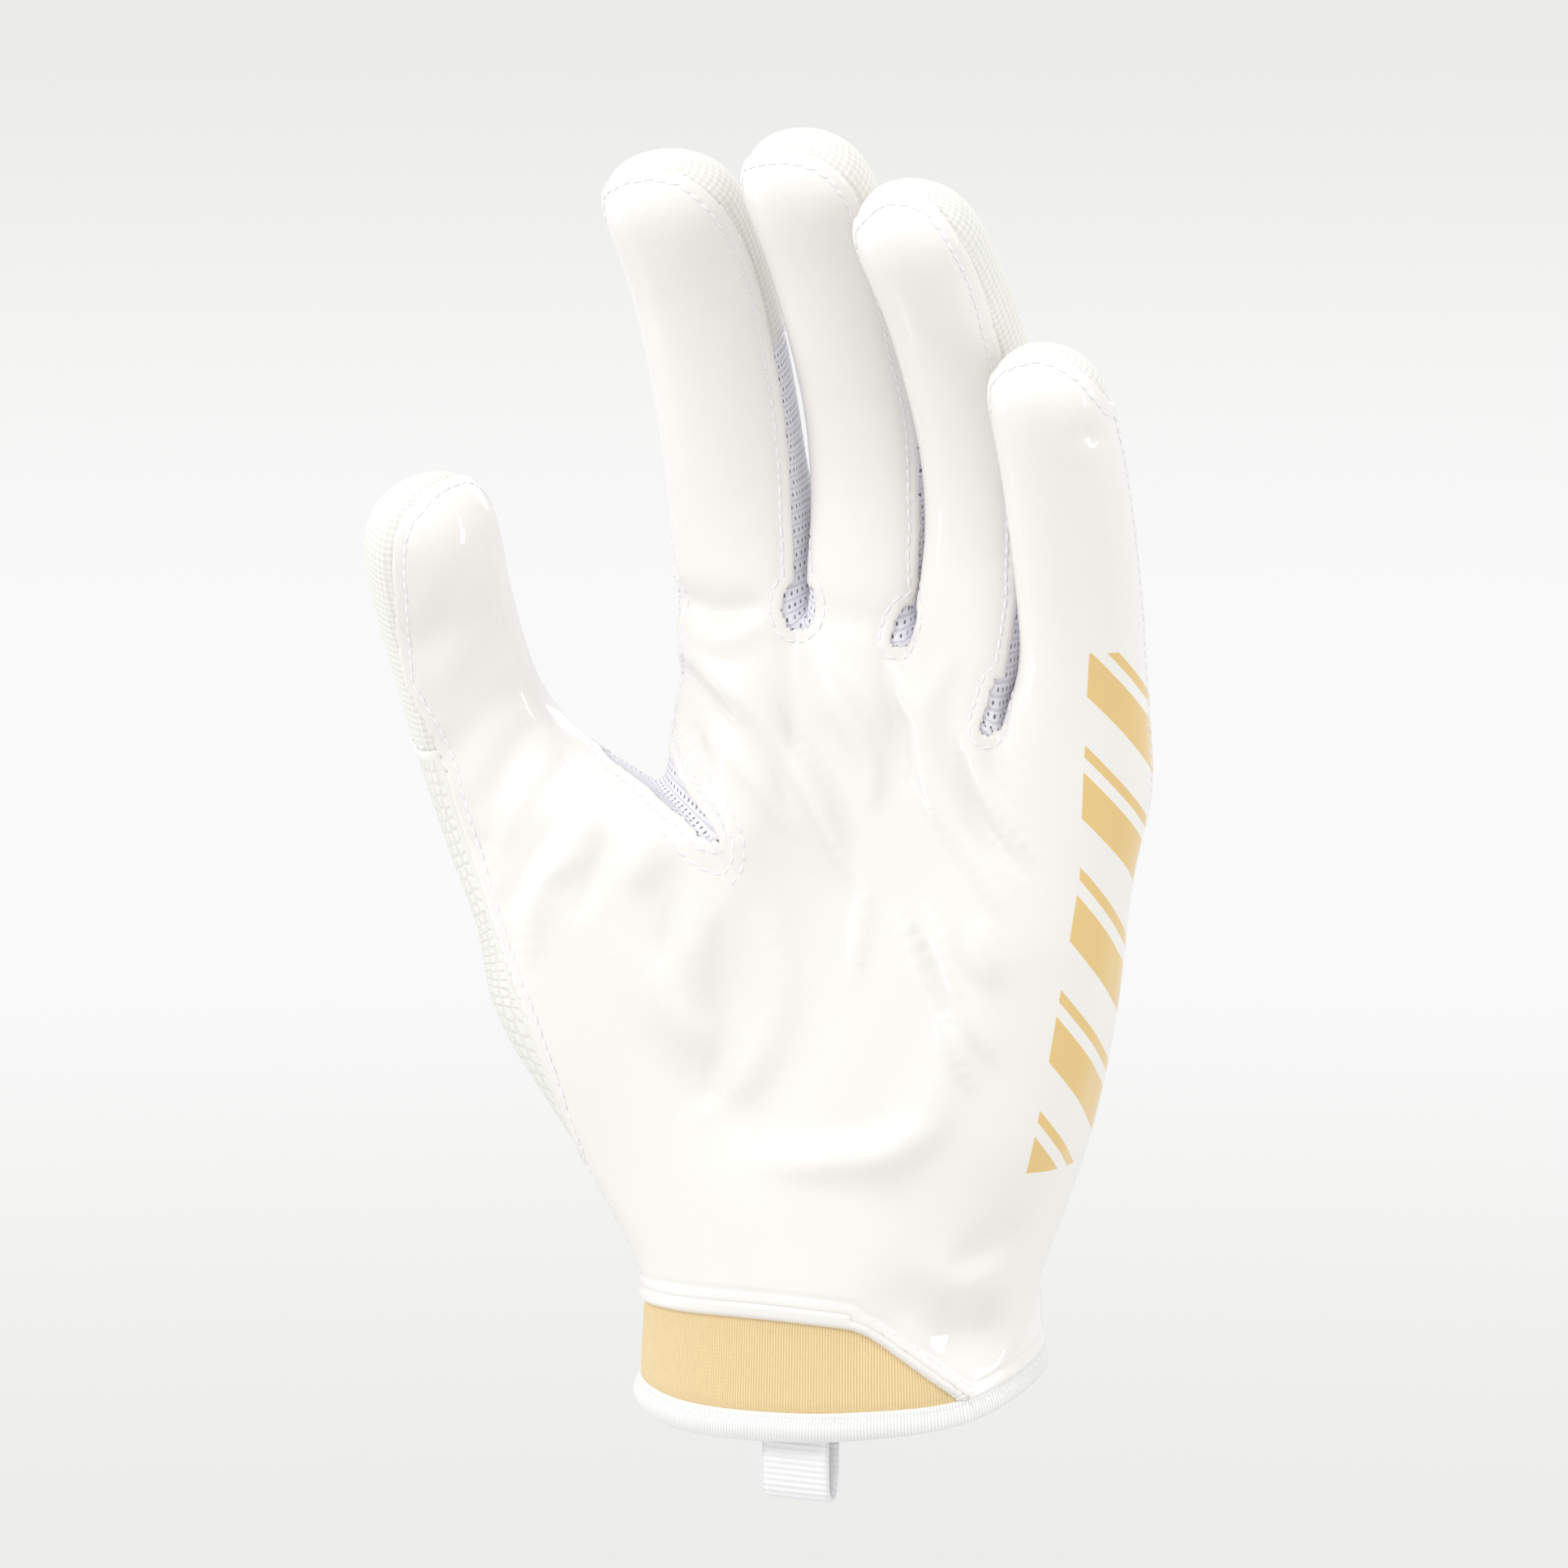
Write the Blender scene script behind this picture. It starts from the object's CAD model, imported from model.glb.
import math

import bpy
import numpy as np
from mathutils import Matrix, Vector
from mathutils.bvhtree import BVHTree
from mathutils.kdtree import KDTree


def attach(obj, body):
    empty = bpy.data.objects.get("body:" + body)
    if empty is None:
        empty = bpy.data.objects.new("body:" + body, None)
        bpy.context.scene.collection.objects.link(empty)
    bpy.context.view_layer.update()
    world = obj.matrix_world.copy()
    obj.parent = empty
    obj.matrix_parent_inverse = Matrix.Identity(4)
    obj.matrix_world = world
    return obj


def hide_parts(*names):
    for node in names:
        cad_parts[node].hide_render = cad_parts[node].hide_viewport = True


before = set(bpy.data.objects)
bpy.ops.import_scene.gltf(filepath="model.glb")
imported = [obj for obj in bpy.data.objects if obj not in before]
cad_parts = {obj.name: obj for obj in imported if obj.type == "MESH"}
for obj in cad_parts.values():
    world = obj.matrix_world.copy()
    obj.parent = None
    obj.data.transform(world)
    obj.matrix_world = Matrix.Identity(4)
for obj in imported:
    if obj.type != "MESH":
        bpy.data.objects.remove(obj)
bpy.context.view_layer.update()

# The studio.
# A pale floor that runs out of sight, a pale sky, and soft boxes round a glove that is
# held up by its wrist. The camera looks at the palm from a little above, to the right.

AZIMUTH = math.radians(24)
ELEVATION = math.radians(10)
CAMERA_DISTANCE = 1500.0
PICTURE_SIDE = 1932
PICTURE_SCALE = 0.135
ORIGIN_COLUMN = 1035
ORIGIN_ROW = 1720
SENSOR = 36.0
METRE = 0.001

view_right = np.array([math.cos(AZIMUTH), math.sin(AZIMUTH), 0.0])
view_up = np.array([
    -math.sin(ELEVATION) * math.sin(AZIMUTH),
    math.sin(ELEVATION) * math.cos(AZIMUTH),
    math.cos(ELEVATION),
])
view_back = np.cross(view_right, view_up)
MIDDLE_ACROSS = (PICTURE_SIDE / 2 - ORIGIN_COLUMN) * PICTURE_SCALE
MIDDLE_HEIGHT = (ORIGIN_ROW - PICTURE_SIDE / 2) * PICTURE_SCALE
view_target = view_right * MIDDLE_ACROSS + view_up * MIDDLE_HEIGHT


def on_picture(points):
    """Millimetres right of and above the wrist opening, as the camera sees them."""
    offset = points - view_target
    shrink = CAMERA_DISTANCE / (CAMERA_DISTANCE - offset @ view_back)
    return np.stack([offset @ view_right * shrink + MIDDLE_ACROSS,
                     offset @ view_up * shrink + MIDDLE_HEIGHT], axis=1)


def from_picture(places):
    """Millimetres on the picture plane from its pixels."""
    places = np.asarray(places, dtype=float)
    return np.stack([places[:, 0] - ORIGIN_COLUMN, ORIGIN_ROW - places[:, 1]], axis=1) * PICTURE_SCALE


camera_data = bpy.data.cameras.new("camera")
camera_data.sensor_width = SENSOR
camera_data.lens = SENSOR * CAMERA_DISTANCE / (PICTURE_SIDE * PICTURE_SCALE)
camera_data.clip_end = 100.0
camera = bpy.data.objects.new("camera", camera_data)
bpy.context.scene.collection.objects.link(camera)
camera_place = (view_target + view_back * CAMERA_DISTANCE) * METRE
camera_axes = np.stack([view_right, view_up, view_back, camera_place], axis=1)
camera.matrix_world = Matrix([*camera_axes.tolist(), (0, 0, 0, 1)])
bpy.context.scene.camera = camera
bpy.context.scene.view_settings.view_transform = "Standard"

FLOOR_HEIGHT = -0.42
FLOOR_RADIUS = 40.0


class Graph:
    """A node tree with short ways to add and join nodes."""

    def __init__(self, tree):
        self.nodes = tree.nodes
        self.links = tree.links

    def add(self, kind, settings=None, **inputs):
        node = self.nodes.new(kind)
        for key, value in (settings or {}).items():
            setattr(node, key, value)
        for key, value in inputs.items():
            self.feed(node.inputs[key.replace("_", " ")], value)
        return node

    def feed(self, socket, value):
        if isinstance(value, bpy.types.NodeSocket):
            self.links.new(value, socket)
        else:
            socket.default_value = value

    def place(self):
        """Places in the object's own frame, in metres."""
        return self.add("ShaderNodeTexCoord").outputs["Object"]

    def math(self, operation, *values):
        node = self.add("ShaderNodeMath", {"operation": operation})
        for socket, value in zip(node.inputs, values):
            self.feed(socket, value)
        return node.outputs[0]

    def mix(self, factor, low, high):
        """A colour between two. The node's colour sockets are its seventh and eighth."""
        node = self.add("ShaderNodeMix", {"data_type": "RGBA"}, Factor=factor)
        self.feed(node.inputs[6], low)
        self.feed(node.inputs[7], high)
        return node.outputs[2]

    def group(self, tree, **inputs):
        return self.add("ShaderNodeGroup", {"node_tree": tree}, **inputs).outputs


def new_material(name):
    """An empty material, its graph and its surface socket."""
    material = bpy.data.materials.new(name)
    material.use_nodes = True
    material.node_tree.nodes.clear()
    graph = Graph(material.node_tree)
    return material, graph, graph.add("ShaderNodeOutputMaterial").inputs["Surface"]


FLOOR_FADE = 8.0
FLOOR_FAR_COLOUR = (0.835, 0.84, 0.81, 1)
FLOOR_NEAR_COLOUR = (0.955, 0.955, 0.955, 1)
FLOOR_STOPS = (0.16, 0.34, 0.9)


def floor_material():
    """Pale paint that is brightest behind the glove."""
    material, graph, surface_socket = new_material("studio_floor")
    length = graph.add("ShaderNodeVectorMath", {"operation": "LENGTH"}, Vector=graph.place())
    spread = graph.add("ShaderNodeMapRange", Value=length.outputs["Value"], From_Max=FLOOR_FADE)
    ramp = graph.add("ShaderNodeValToRGB", Fac=spread.outputs["Result"])
    ramp.color_ramp.interpolation = "EASE"
    stops = ramp.color_ramp.elements
    for stop, position in zip(stops, FLOOR_STOPS[::2]):
        stop.position, stop.color = position, FLOOR_FAR_COLOUR
    stops.new(FLOOR_STOPS[1]).color = FLOOR_NEAR_COLOUR
    glow = graph.add("ShaderNodeEmission", Color=ramp.outputs["Color"])
    graph.feed(surface_socket, glow.outputs["Emission"])
    return material


bpy.ops.mesh.primitive_circle_add(vertices=96, radius=FLOOR_RADIUS, fill_type="NGON",
                                  location=(0, 0, FLOOR_HEIGHT))
floor = bpy.context.object
floor.name = "floor"
floor.data.materials.append(floor_material())

world = bpy.data.worlds.new("sky")
bpy.context.scene.world = world
world.use_nodes = True
sky = world.node_tree.nodes["Background"].inputs
sky["Color"].default_value = (0.95, 0.955, 0.925, 1)
sky["Strength"].default_value = 0.88

LIT_HEIGHT = 0.1
# name, azimuth and elevation of the box seen from the glove, distance, width, height, power
SOFT_BOXES = (
    ("key_box", -30, 36, 1.5, 0.36, 0.5, 6.2),
    ("side_strip", 84, 14, 1.2, 0.16, 1.1, 2.2),
    ("left_strip", -84, 4, 1.2, 0.2, 1.2, 2.0),
    ("top_box", 10, 78, 1.3, 0.7, 0.5, 2.8),
    ("low_strip", 30, -26, 1.4, 0.9, 0.2, 1.1),
    ("back_box", 180, 30, 1.6, 1.2, 1.0, 3.9),
)
for name, azimuth, elevation, distance, width, height, power in SOFT_BOXES:
    lamp_data = bpy.data.lights.new(name, "AREA")
    lamp_data.shape = "RECTANGLE"
    lamp_data.size = width
    lamp_data.size_y = height
    lamp_data.energy = power
    lamp = bpy.data.objects.new(name, lamp_data)
    bpy.context.scene.collection.objects.link(lamp)
    turn, lift = math.radians(azimuth), math.radians(elevation)
    out = Vector((math.sin(turn) * math.cos(lift), -math.cos(turn) * math.cos(lift), math.sin(lift)))
    lamp.location = Vector((0, 0, LIT_HEIGHT)) + out * distance
    lamp.rotation_euler = out.to_track_quat("Z", "Y").to_euler()

# The shell that the cloth panels make together.
# Every panel lies on one smooth surface, the form the glove has on a hand. It is built as
# rings of points round the cuff, the hand and each digit, joined where the digits part.

CUFF_HALF_WIDTH = 35.2
CUFF_HALF_DEPTH = 24.5
CUFF_HEIGHT = 20.5
HEM_HEIGHT = 4.3
HEM_RISE = 7.0
PIPING_WIDTH = 1.7
ROOT_HEIGHT = 129.0
HAND_HALF_WIDTH = 50.0
HAND_HALF_DEPTH = 20.0
HAND_SIZE = np.array([HAND_HALF_WIDTH, HAND_HALF_DEPTH, ROOT_HEIGHT])
# faces across the front or back of a digit, and across its side
FACE = 4
SIDE = 3
DIGIT_COLUMNS = 2 * FACE + 2 * SIDE
HAND_FACE = 5 * FACE
UPPER_FACE = 4 * FACE
BAND_END = HAND_FACE - 1
BAND_ROWS = 4
CUFF_POWER = 2.2
DIGIT_POWER = 2.3
BACK_SEAM = 122
SECTION_CORNER = 0.94
THUMB_EDGE_AT_CUFF = -0.58

# height, x, y, half width, palm depth, back depth, thumb edge, power, thumb forward,
# little finger forward, rows: shares of the root height and of the hand's half width and depth
HAND_SECTIONS = (
    (0.24, -0.02, 0.0, 0.775, 1.12, 1.1, -0.52, 2.3, 0.05, 0.0, 3),
    (0.35, -0.06, -0.02, 0.925, 1.03, 1.0, -0.46, 2.4, 0.12, 0.02, 2),
    (0.5, -0.11, -0.05, 1.09, 0.93, 0.9, -0.38, 2.4, 0.3, 0.1, 4),
)
WEB_SECTION = (0.713, 0.26, -0.05, 0.816, 0.82, 0.775, 0.0, 2.4, 0.0, 0.28, 4)
UPPER_ROWS = 6

# angle round the cuff from the middle of the palm, height as a share of the hem's rise
HEM_LINE = (
    (-90, -0.17), (-60, -0.26), (-30, -0.4), (0, -0.31), (30, -0.02), (60, 0.35), (90, 0.94),
    (115, 1.03), (150, 0.5), (180, 0.1), (215, -0.2), (245, -0.25), (270, -0.17),
)
# the same angle, height as a share of the cuff's
BAND_EDGE = (
    (-90, 0.8), (-66, 0.825), (-40, 0.893), (-15, 0.944), (0, 0.944), (14, 0.91), (20, 0.88),
    (26, 0.8), (32, 0.66), (39, 0.495), (47, 0.31), (56, 0.25), (69, 0.25), (85, 0.45),
    (105, 0.8), (125, 0.92), (180, 0.96), (270, 0.8),
)
CUFF_PROFILE = ((0, 1.0), (0.25, 0.985), (1.0, 0.965), (1.3, 0.985))

# share of the digit's length, and width, palm depth and back depth as shares of its own
FINGER_SECTIONS = (
    (0.0, 1.0, 1.12, 1.12), (0.15, 0.98, 1.03, 1.03), (0.4, 0.99, 1.0, 1.0),
    (0.6, 1.0, 0.98, 0.98), (0.8, 1.0, 0.97, 0.93), (1.0, 0.99, 0.95, 0.86),
)
THUMB_SECTIONS = (
    (0.0, 1.46, 1.14, 1.2), (0.18, 1.2, 1.06, 1.08), (0.4, 1.0, 1.0, 1.0),
    (0.62, 0.98, 0.98, 0.96), (0.8, 1.0, 1.0, 0.93), (1.0, 0.96, 0.95, 0.9),
)
JOINTS = (0.1, 0.4, 0.72)
JOINT_SPAN = 0.3


def finger_bends(*flexes):
    return [(place, JOINT_SPAN, flex, 0) for place, flex in zip(JOINTS, flexes)]


FINGER = dict(sections=FINGER_SECTIONS, turn=0, reach=0.3)
DIGITS = {
    "thumb": dict(
        x=-0.96, y=-0.325, z=0.674, length=73.5, width=23.8, half_depth=11.0, dome=0.95,
        sections=THUMB_SECTIONS, splay=-38, roll=38, turn=20, lean=6, rows=9, cap_row=4, reach=0.36,
        bends=[(0.28, 0.5, 28, 10), (0.72, 0.36, 12, 4)],
        seams=((0, -62, 70), (0.5, -62, 95), (1, -66, 95))),
    "index": dict(
        x=-0.315, y=-0.05, z=1.0, length=87.0, width=24.4, half_depth=9.8, dome=0.97,
        **FINGER, splay=-3, roll=3, lean=3, rows=11, cap_row=7,
        bends=finger_bends(6, 14, 16),
        seams=((0, -64, 70), (0.3, -80, 66), (0.7, -92, 66), (1, -75, 62))),
    "middle": dict(
        x=0.14, y=0.1, z=1.012, length=94.5, width=22.0, half_depth=9.8, dome=0.97,
        **FINGER, splay=1, roll=0, lean=5, rows=11, cap_row=7,
        bends=finger_bends(7, 20, 11),
        seams=((0, -64, 70), (0.5, -70, 74), (1, -66, 62))),
    "ring": dict(
        x=0.55, y=-0.05, z=0.961, length=96.5, width=21.8, half_depth=9.8, dome=0.96,
        **FINGER, splay=6.5, roll=-8, lean=9, rows=11, cap_row=7,
        bends=finger_bends(6, 19, 12),
        seams=((0, -64, 66), (0.5, -66, 62), (1, -66, 58))),
    "little": dict(
        x=0.94, y=-0.4, z=0.845, length=79.0, width=20.5, half_depth=9.0, dome=1.0,
        **FINGER, splay=6.5, roll=-10, lean=12, rows=9, cap_row=6,
        bends=finger_bends(5, 6, 7),
        seams=((0, -64, 64), (0.5, -66, 64), (1, -66, 60))),
}
FINGERS = ("index", "middle", "ring", "little")
DOME_ANGLES = (28, 52, 72)
DOME_ROUNDNESS = 0.9

# crotches between the fingers: x, z, front, back
CROTCHES = ((-0.052, 1.0155, -0.55, 0.55), (0.338, 1.0023, -0.6, 0.525), (0.692, 0.907, -0.85, 0.3))
CROTCH_PROFILE = ((0, 1.0, 0, -1.0), (1.0, 0.4, 0, 1.2), (2.5, 0.4, 1, 0.8), (4.0, 1.0, 1, -2.5))
WEB_CHAIN = ((-0.284, -0.875, 0.735), (-0.51, -0.6, 0.779), (-0.64, -0.15, 0.791), (-0.64, 0.45, 0.752))
DIGIT_SPREAD = (0.55, 0.27, 0.1)
WEB_SPREAD = (0.8, 0.55, 0.3, 0.1)


def smooth(value):
    t = np.clip(value, 0.0, 1.0)
    return t * t * (3 - 2 * t)


def hermite(low, high, slope_low, slope_high, t):
    """Between two values with a slope at each, at a share t of the way."""
    return (low * (1 + 2 * t) * (1 - t) ** 2 + high * t * t * (3 - 2 * t)
            + slope_low * t * (1 - t) ** 2 - slope_high * t * t * (1 - t))


def curve(table, column, at):
    """One column of a table as a smooth curve, read at one place."""
    table = np.asarray(table, dtype=float)
    places, values = table[:, 0], table[:, column]
    last = len(places) - 1
    at = min(max(at, places[0]), places[last])
    k = int(min(max(np.searchsorted(places, at) - 1, 0), last - 1))

    def slope(j):
        a, b = max(j - 1, 0), min(j + 1, last)
        return (values[b] - values[a]) / (places[b] - places[a])

    span = places[k + 1] - places[k]
    return hermite(values[k], values[k + 1], slope(k) * span, slope(k + 1) * span, (at - places[k]) / span)


def unit(v):
    return v / np.maximum(np.linalg.norm(v, axis=-1, keepdims=True), 1e-12)


def lengths_along(line):
    """How far each point of a line is from its start."""
    return np.concatenate([[0], np.cumsum(np.linalg.norm(np.diff(line, axis=0), axis=1))])


class Digit:
    """A bent tube: its middle line and its rings of points."""

    STEPS = 120
    TURN_END = 0.55

    def __init__(self, row):
        self.row = row
        splay, roll = math.radians(row["splay"]), math.radians(row["roll"])
        along = np.array([math.sin(splay), 0, math.cos(splay)])
        flat = np.array([math.cos(splay), 0, -math.sin(splay)])
        front = np.array([0.0, -1.0, 0.0])
        self.across = flat * math.cos(roll) - front * math.sin(roll)
        palm = front * math.cos(roll) + flat * math.sin(roll)
        self.ways = []
        for k in range(self.STEPS + 1):
            flex, sway = row["lean"], 0.0
            for at, span, bend, lean in row["bends"]:
                part = smooth((k / self.STEPS - at + span / 2) / span)
                flex += bend * part
                sway += lean * part
            way = along * math.cos(math.radians(flex)) + palm * math.sin(math.radians(flex))
            way = way * math.cos(math.radians(sway)) + self.across * math.sin(math.radians(sway))
            self.ways.append(way)
        self.ways = np.array(self.ways)
        root = np.array([row["x"], row["y"], row["z"]]) * HAND_SIZE
        moves = (self.ways[1:] + self.ways[:-1]) * row["length"] / self.STEPS / 2
        self.path = np.concatenate([[root], root + np.cumsum(moves, axis=0)])
        self.pulls = np.zeros((DIGIT_COLUMNS, 3))

    def frame(self, share):
        place = min(share, 1.0) * self.STEPS
        k = min(int(place), self.STEPS - 1)
        centre = self.path[k] + (self.path[k + 1] - self.path[k]) * (place - k)
        forward = unit(self.ways[k] + (self.ways[k + 1] - self.ways[k]) * (place - k))
        side = unit(self.across - forward * (self.across @ forward))
        face = np.cross(side, forward)
        turn = -math.radians(self.row["turn"]) * (1 - smooth(share / self.TURN_END))
        return (centre, forward, side * math.cos(turn) - face * math.sin(turn),
                face * math.cos(turn) + side * math.sin(turn))

    def angles(self, share):
        radial = curve(self.row["seams"], 1, share)
        ulnar = curve(self.row["seams"], 2, share)
        corners = [radial, ulnar, BACK_SEAM, 360 - BACK_SEAM, 360 + radial]
        angles = []
        for part, count in enumerate((FACE, SIDE, FACE, SIDE)):
            step = (corners[part + 1] - corners[part]) / count
            angles += [corners[part] + step * k for k in range(count)]
        return np.radians(angles)

    def ring(self, share):
        centre, _, side, face = self.frame(share)
        half = curve(self.row["sections"], 1, share) * self.row["width"] / 2
        palm = curve(self.row["sections"], 2, share) * self.row["half_depth"]
        back = curve(self.row["sections"], 3, share) * self.row["half_depth"]
        angles = self.angles(share)
        across, out = np.sin(angles), np.cos(angles)
        depth = np.where(out > 0, palm, back)
        powers = np.abs(across / half) ** DIGIT_POWER + np.abs(out / depth) ** DIGIT_POWER
        radius = powers ** (-1 / DIGIT_POWER)
        return centre + side * (radius * across)[:, None] + face * (radius * out)[:, None]

    def pulled_ring(self, share):
        return self.ring(share) + self.pulls * (1 - smooth(share / self.row["reach"]))

    def pull(self, chain, targets, side):
        """A shared chain of points draws its neighbours in the root ring along with it."""
        moves = targets - self.ring(0)[chain]
        for column, move in zip(chain, moves):
            self.pulls[column] += move
        for k, share in enumerate(DIGIT_SPREAD):
            self.pulls[(chain[0] + side * (k + 1)) % DIGIT_COLUMNS] += moves[0] * share
            self.pulls[(chain[-1] - side * (k + 1)) % DIGIT_COLUMNS] += moves[-1] * share


digits = {name: Digit(row) for name, row in DIGITS.items()}
ULNAR_CHAIN = [FACE + k for k in range(SIDE + 1)]
RADIAL_CHAIN = [-k % DIGIT_COLUMNS for k in range(SIDE + 1)]
for k, (x, z, front, back) in enumerate(CROTCHES):
    chain = np.array([
        (x * HAND_HALF_WIDTH + dx, (back if end else front) * depth * HAND_HALF_DEPTH, z * ROOT_HEIGHT + dz)
        for dx, depth, end, dz in CROTCH_PROFILE])
    digits[FINGERS[k]].pull(ULNAR_CHAIN, chain, -1)
    digits[FINGERS[k + 1]].pull(RADIAL_CHAIN, chain, 1)


def ring_angles(palm_shares, power):
    palm = [math.asin(math.copysign(min(abs(s), 1) ** (power / 2), s)) for s in palm_shares]
    back = [math.pi - angle for angle in reversed(palm)]
    angles = palm + [palm[-1] + (back[0] - palm[-1]) * k / SIDE for k in range(1, SIDE)] + back
    close = 2 * math.pi + palm[0]
    return np.array(angles + [back[-1] + (close - back[-1]) * k / SIDE for k in range(1, SIDE)])


def hand_shares(edge):
    thumb = [-SECTION_CORNER + (edge + SECTION_CORNER) * k / FACE for k in range(FACE)]
    return thumb + [edge + (SECTION_CORNER - edge) * k / UPPER_FACE for k in range(UPPER_FACE + 1)]


def oval(angles, half_width, palm, back, power):
    sine, cosine = np.sin(angles), np.cos(angles)
    x = half_width * np.sign(sine) * np.abs(sine) ** (2 / power)
    y = -np.where(cosine > 0, palm, back) * np.sign(cosine) * np.abs(cosine) ** (2 / power)
    return x, y


def section_ring(row, palm_shares):
    height, x0, y0, half, palm, back, _, power, thumb_forward, little_forward, _ = row
    x, y = oval(ring_angles(palm_shares, power), half * HAND_HALF_WIDTH, palm * HAND_HALF_DEPTH,
                back * HAND_HALF_DEPTH, power)
    share = x / (half * HAND_HALF_WIDTH)
    forward = thumb_forward * smooth((-share - 0.1) / 0.9) + little_forward * smooth((share - 0.1) / 0.9)
    return np.stack([x0 * HAND_HALF_WIDTH + x, (y0 - forward) * HAND_HALF_DEPTH + y,
                     np.full(len(x), height * ROOT_HEIGHT)], axis=1)


cuff_angles = ring_angles(hand_shares(THUMB_EDGE_AT_CUFF), CUFF_POWER)
hem_line = np.array([HEM_RISE * curve(HEM_LINE, 1, math.degrees(angle)) for angle in cuff_angles])
band_edge = np.array([CUFF_HEIGHT * curve(BAND_EDGE, 1, math.degrees(angle)) for angle in cuff_angles])


HEM_FADE = 0.6


def cuff_ring(heights):
    size = np.array([curve(CUFF_PROFILE, 1, h / CUFF_HEIGHT) for h in heights])
    x, y = oval(cuff_angles, CUFF_HALF_WIDTH, CUFF_HALF_DEPTH, CUFF_HALF_DEPTH, CUFF_POWER)
    fade = 1 - HEM_FADE * smooth(heights / CUFF_HEIGHT)
    return np.stack([x * size, y * size, heights + hem_line * fade], axis=1)


def rows_between(before, low, high, after, count):
    """Rings between two key rings, smooth along each column."""
    step = np.linalg.norm(high - low, axis=1, keepdims=True) + 1e-9
    below = np.linalg.norm(low - before, axis=1, keepdims=True) + 1e-9
    above = np.linalg.norm(after - high, axis=1, keepdims=True) + 1e-9
    slope_low = ((high - low) * below / step + (low - before) * step / below) * step / (step + below)
    slope_high = ((after - high) * step / above + (high - low) * above / step) * step / (step + above)
    return [hermite(low, high, slope_low, slope_high, k / count) for k in range(1, count + 1)]


DIGIT_NAMES = list(DIGITS)
HAND_OWNER = len(DIGIT_NAMES)


class Net:
    """Four-sided faces with a panel name each, and places on the cloth at their corners."""

    def __init__(self):
        self.points = []
        self.faces = []
        self.panels = []
        self.owners = []
        self.capped = []
        self.cloth = []
        self.owner = HAND_OWNER
        self.cap = False
        self.around = None

    def add(self, points):
        start = len(self.points)
        self.points += [np.asarray(p, dtype=float) for p in points]
        return list(range(start, start + len(points)))

    def face(self, corners, panel, cloth):
        self.faces.append(corners)
        self.panels.append(panel)
        self.owners.append(self.owner)
        self.capped.append(self.cap)
        self.cloth.append(cloth)

    def grow(self, low, ring, panel_of, up_low):
        """A new ring of points, and faces down to the one below it.

        Cloth places: millimetres round the ring where the piece starts, and along it."""
        high = self.add(ring)
        base, top = (np.array([self.points[i] for i in ids]) for ids in (low, high))
        if self.around is None:
            self.around = lengths_along(np.concatenate([base, base[:1]]))
        up_high = up_low + np.linalg.norm(top - base, axis=1).mean()
        for k in range(len(low)):
            after = (k + 1) % len(low)
            left, right = self.around[k:k + 2]
            self.face((low[k], low[after], high[after], high[k]), panel_of(k),
                      ((left, up_low), (right, up_low), (right, up_high), (left, up_high)))
        return high, up_high


net = Net()
web = np.array(WEB_CHAIN) * HAND_SIZE
upper_ring = section_ring(WEB_SECTION, hand_shares(-SECTION_CORNER)[FACE:])
upper_count = len(upper_ring)
upper_back = upper_count - SIDE
front_move, rear_move = web[0] - upper_ring[0], web[SIDE] - upper_ring[upper_back]
for k, share in enumerate(WEB_SPREAD):
    upper_ring[k + 1] += front_move * share
    upper_ring[upper_back - k - 1] += rear_move * share
for column, point in zip((0, upper_count - 1, upper_count - 2, upper_back), web):
    upper_ring[column] = point
digits["thumb"].pull(ULNAR_CHAIN, web, -1)


def whole_ring(thumb_ring, hand_ring):
    return np.concatenate([thumb_ring[:FACE + 1], hand_ring[1:upper_back + 1], thumb_ring[FACE + SIDE + 1:]])


def round_the_fingers(share):
    rings = [digits[name].pulled_ring(share) for name in FINGERS]
    parts = [rings[0][:1]] + [ring[1:FACE + 1] for ring in rings]
    parts.append(rings[3][FACE + 1:FACE + SIDE + 1])
    parts += [ring[FACE + SIDE + 1:2 * FACE + SIDE + 1] for ring in reversed(rings)]
    parts.append(rings[0][2 * FACE + SIDE + 1:])
    return np.concatenate(parts)


# Guide rings a little way up the digits set how the rows below them end.
THUMB_GUIDE = 0.22
FINGER_GUIDE = 0.08
web_ring = whole_ring(digits["thumb"].pulled_ring(0), upper_ring)
knuckle_ring = round_the_fingers(0)
rise = band_edge - HEM_HEIGHT
cuff_rings = [cuff_ring(h) for h in (
    0 * rise, 0 * rise + HEM_HEIGHT, HEM_HEIGHT + rise / 3, HEM_HEIGHT + rise * 2 / 3, band_edge,
    band_edge + PIPING_WIDTH)]
key_rings = cuff_rings[BAND_ROWS:]
key_rings += [section_ring(row, hand_shares(row[6])) for row in HAND_SECTIONS] + [web_ring]
thenar_ring = key_rings[-2]
beyond_web = whole_ring(digits["thumb"].pulled_ring(THUMB_GUIDE), knuckle_ring)
web_back = FACE + upper_back
for column in (FACE - 1, FACE, web_back, web_back + 1):
    beyond_web[column] = web_ring[column] * 2 - thenar_ring[column]
key_rings.append(beyond_web)


def hand_panel(column, row):
    palm_side = column < HAND_FACE + SIDE
    if row == 0:
        return "hem_binding"
    if row < BAND_ROWS:
        return "palm_panel" if palm_side and column >= BAND_END else "cuff_band"
    if row == BAND_ROWS and column < BAND_END:
        return "palm_edge_binding"
    if palm_side:
        return "palm_panel"
    return "back_panel" if column < 2 * HAND_FACE + SIDE else "thumb_side_panel"


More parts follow.
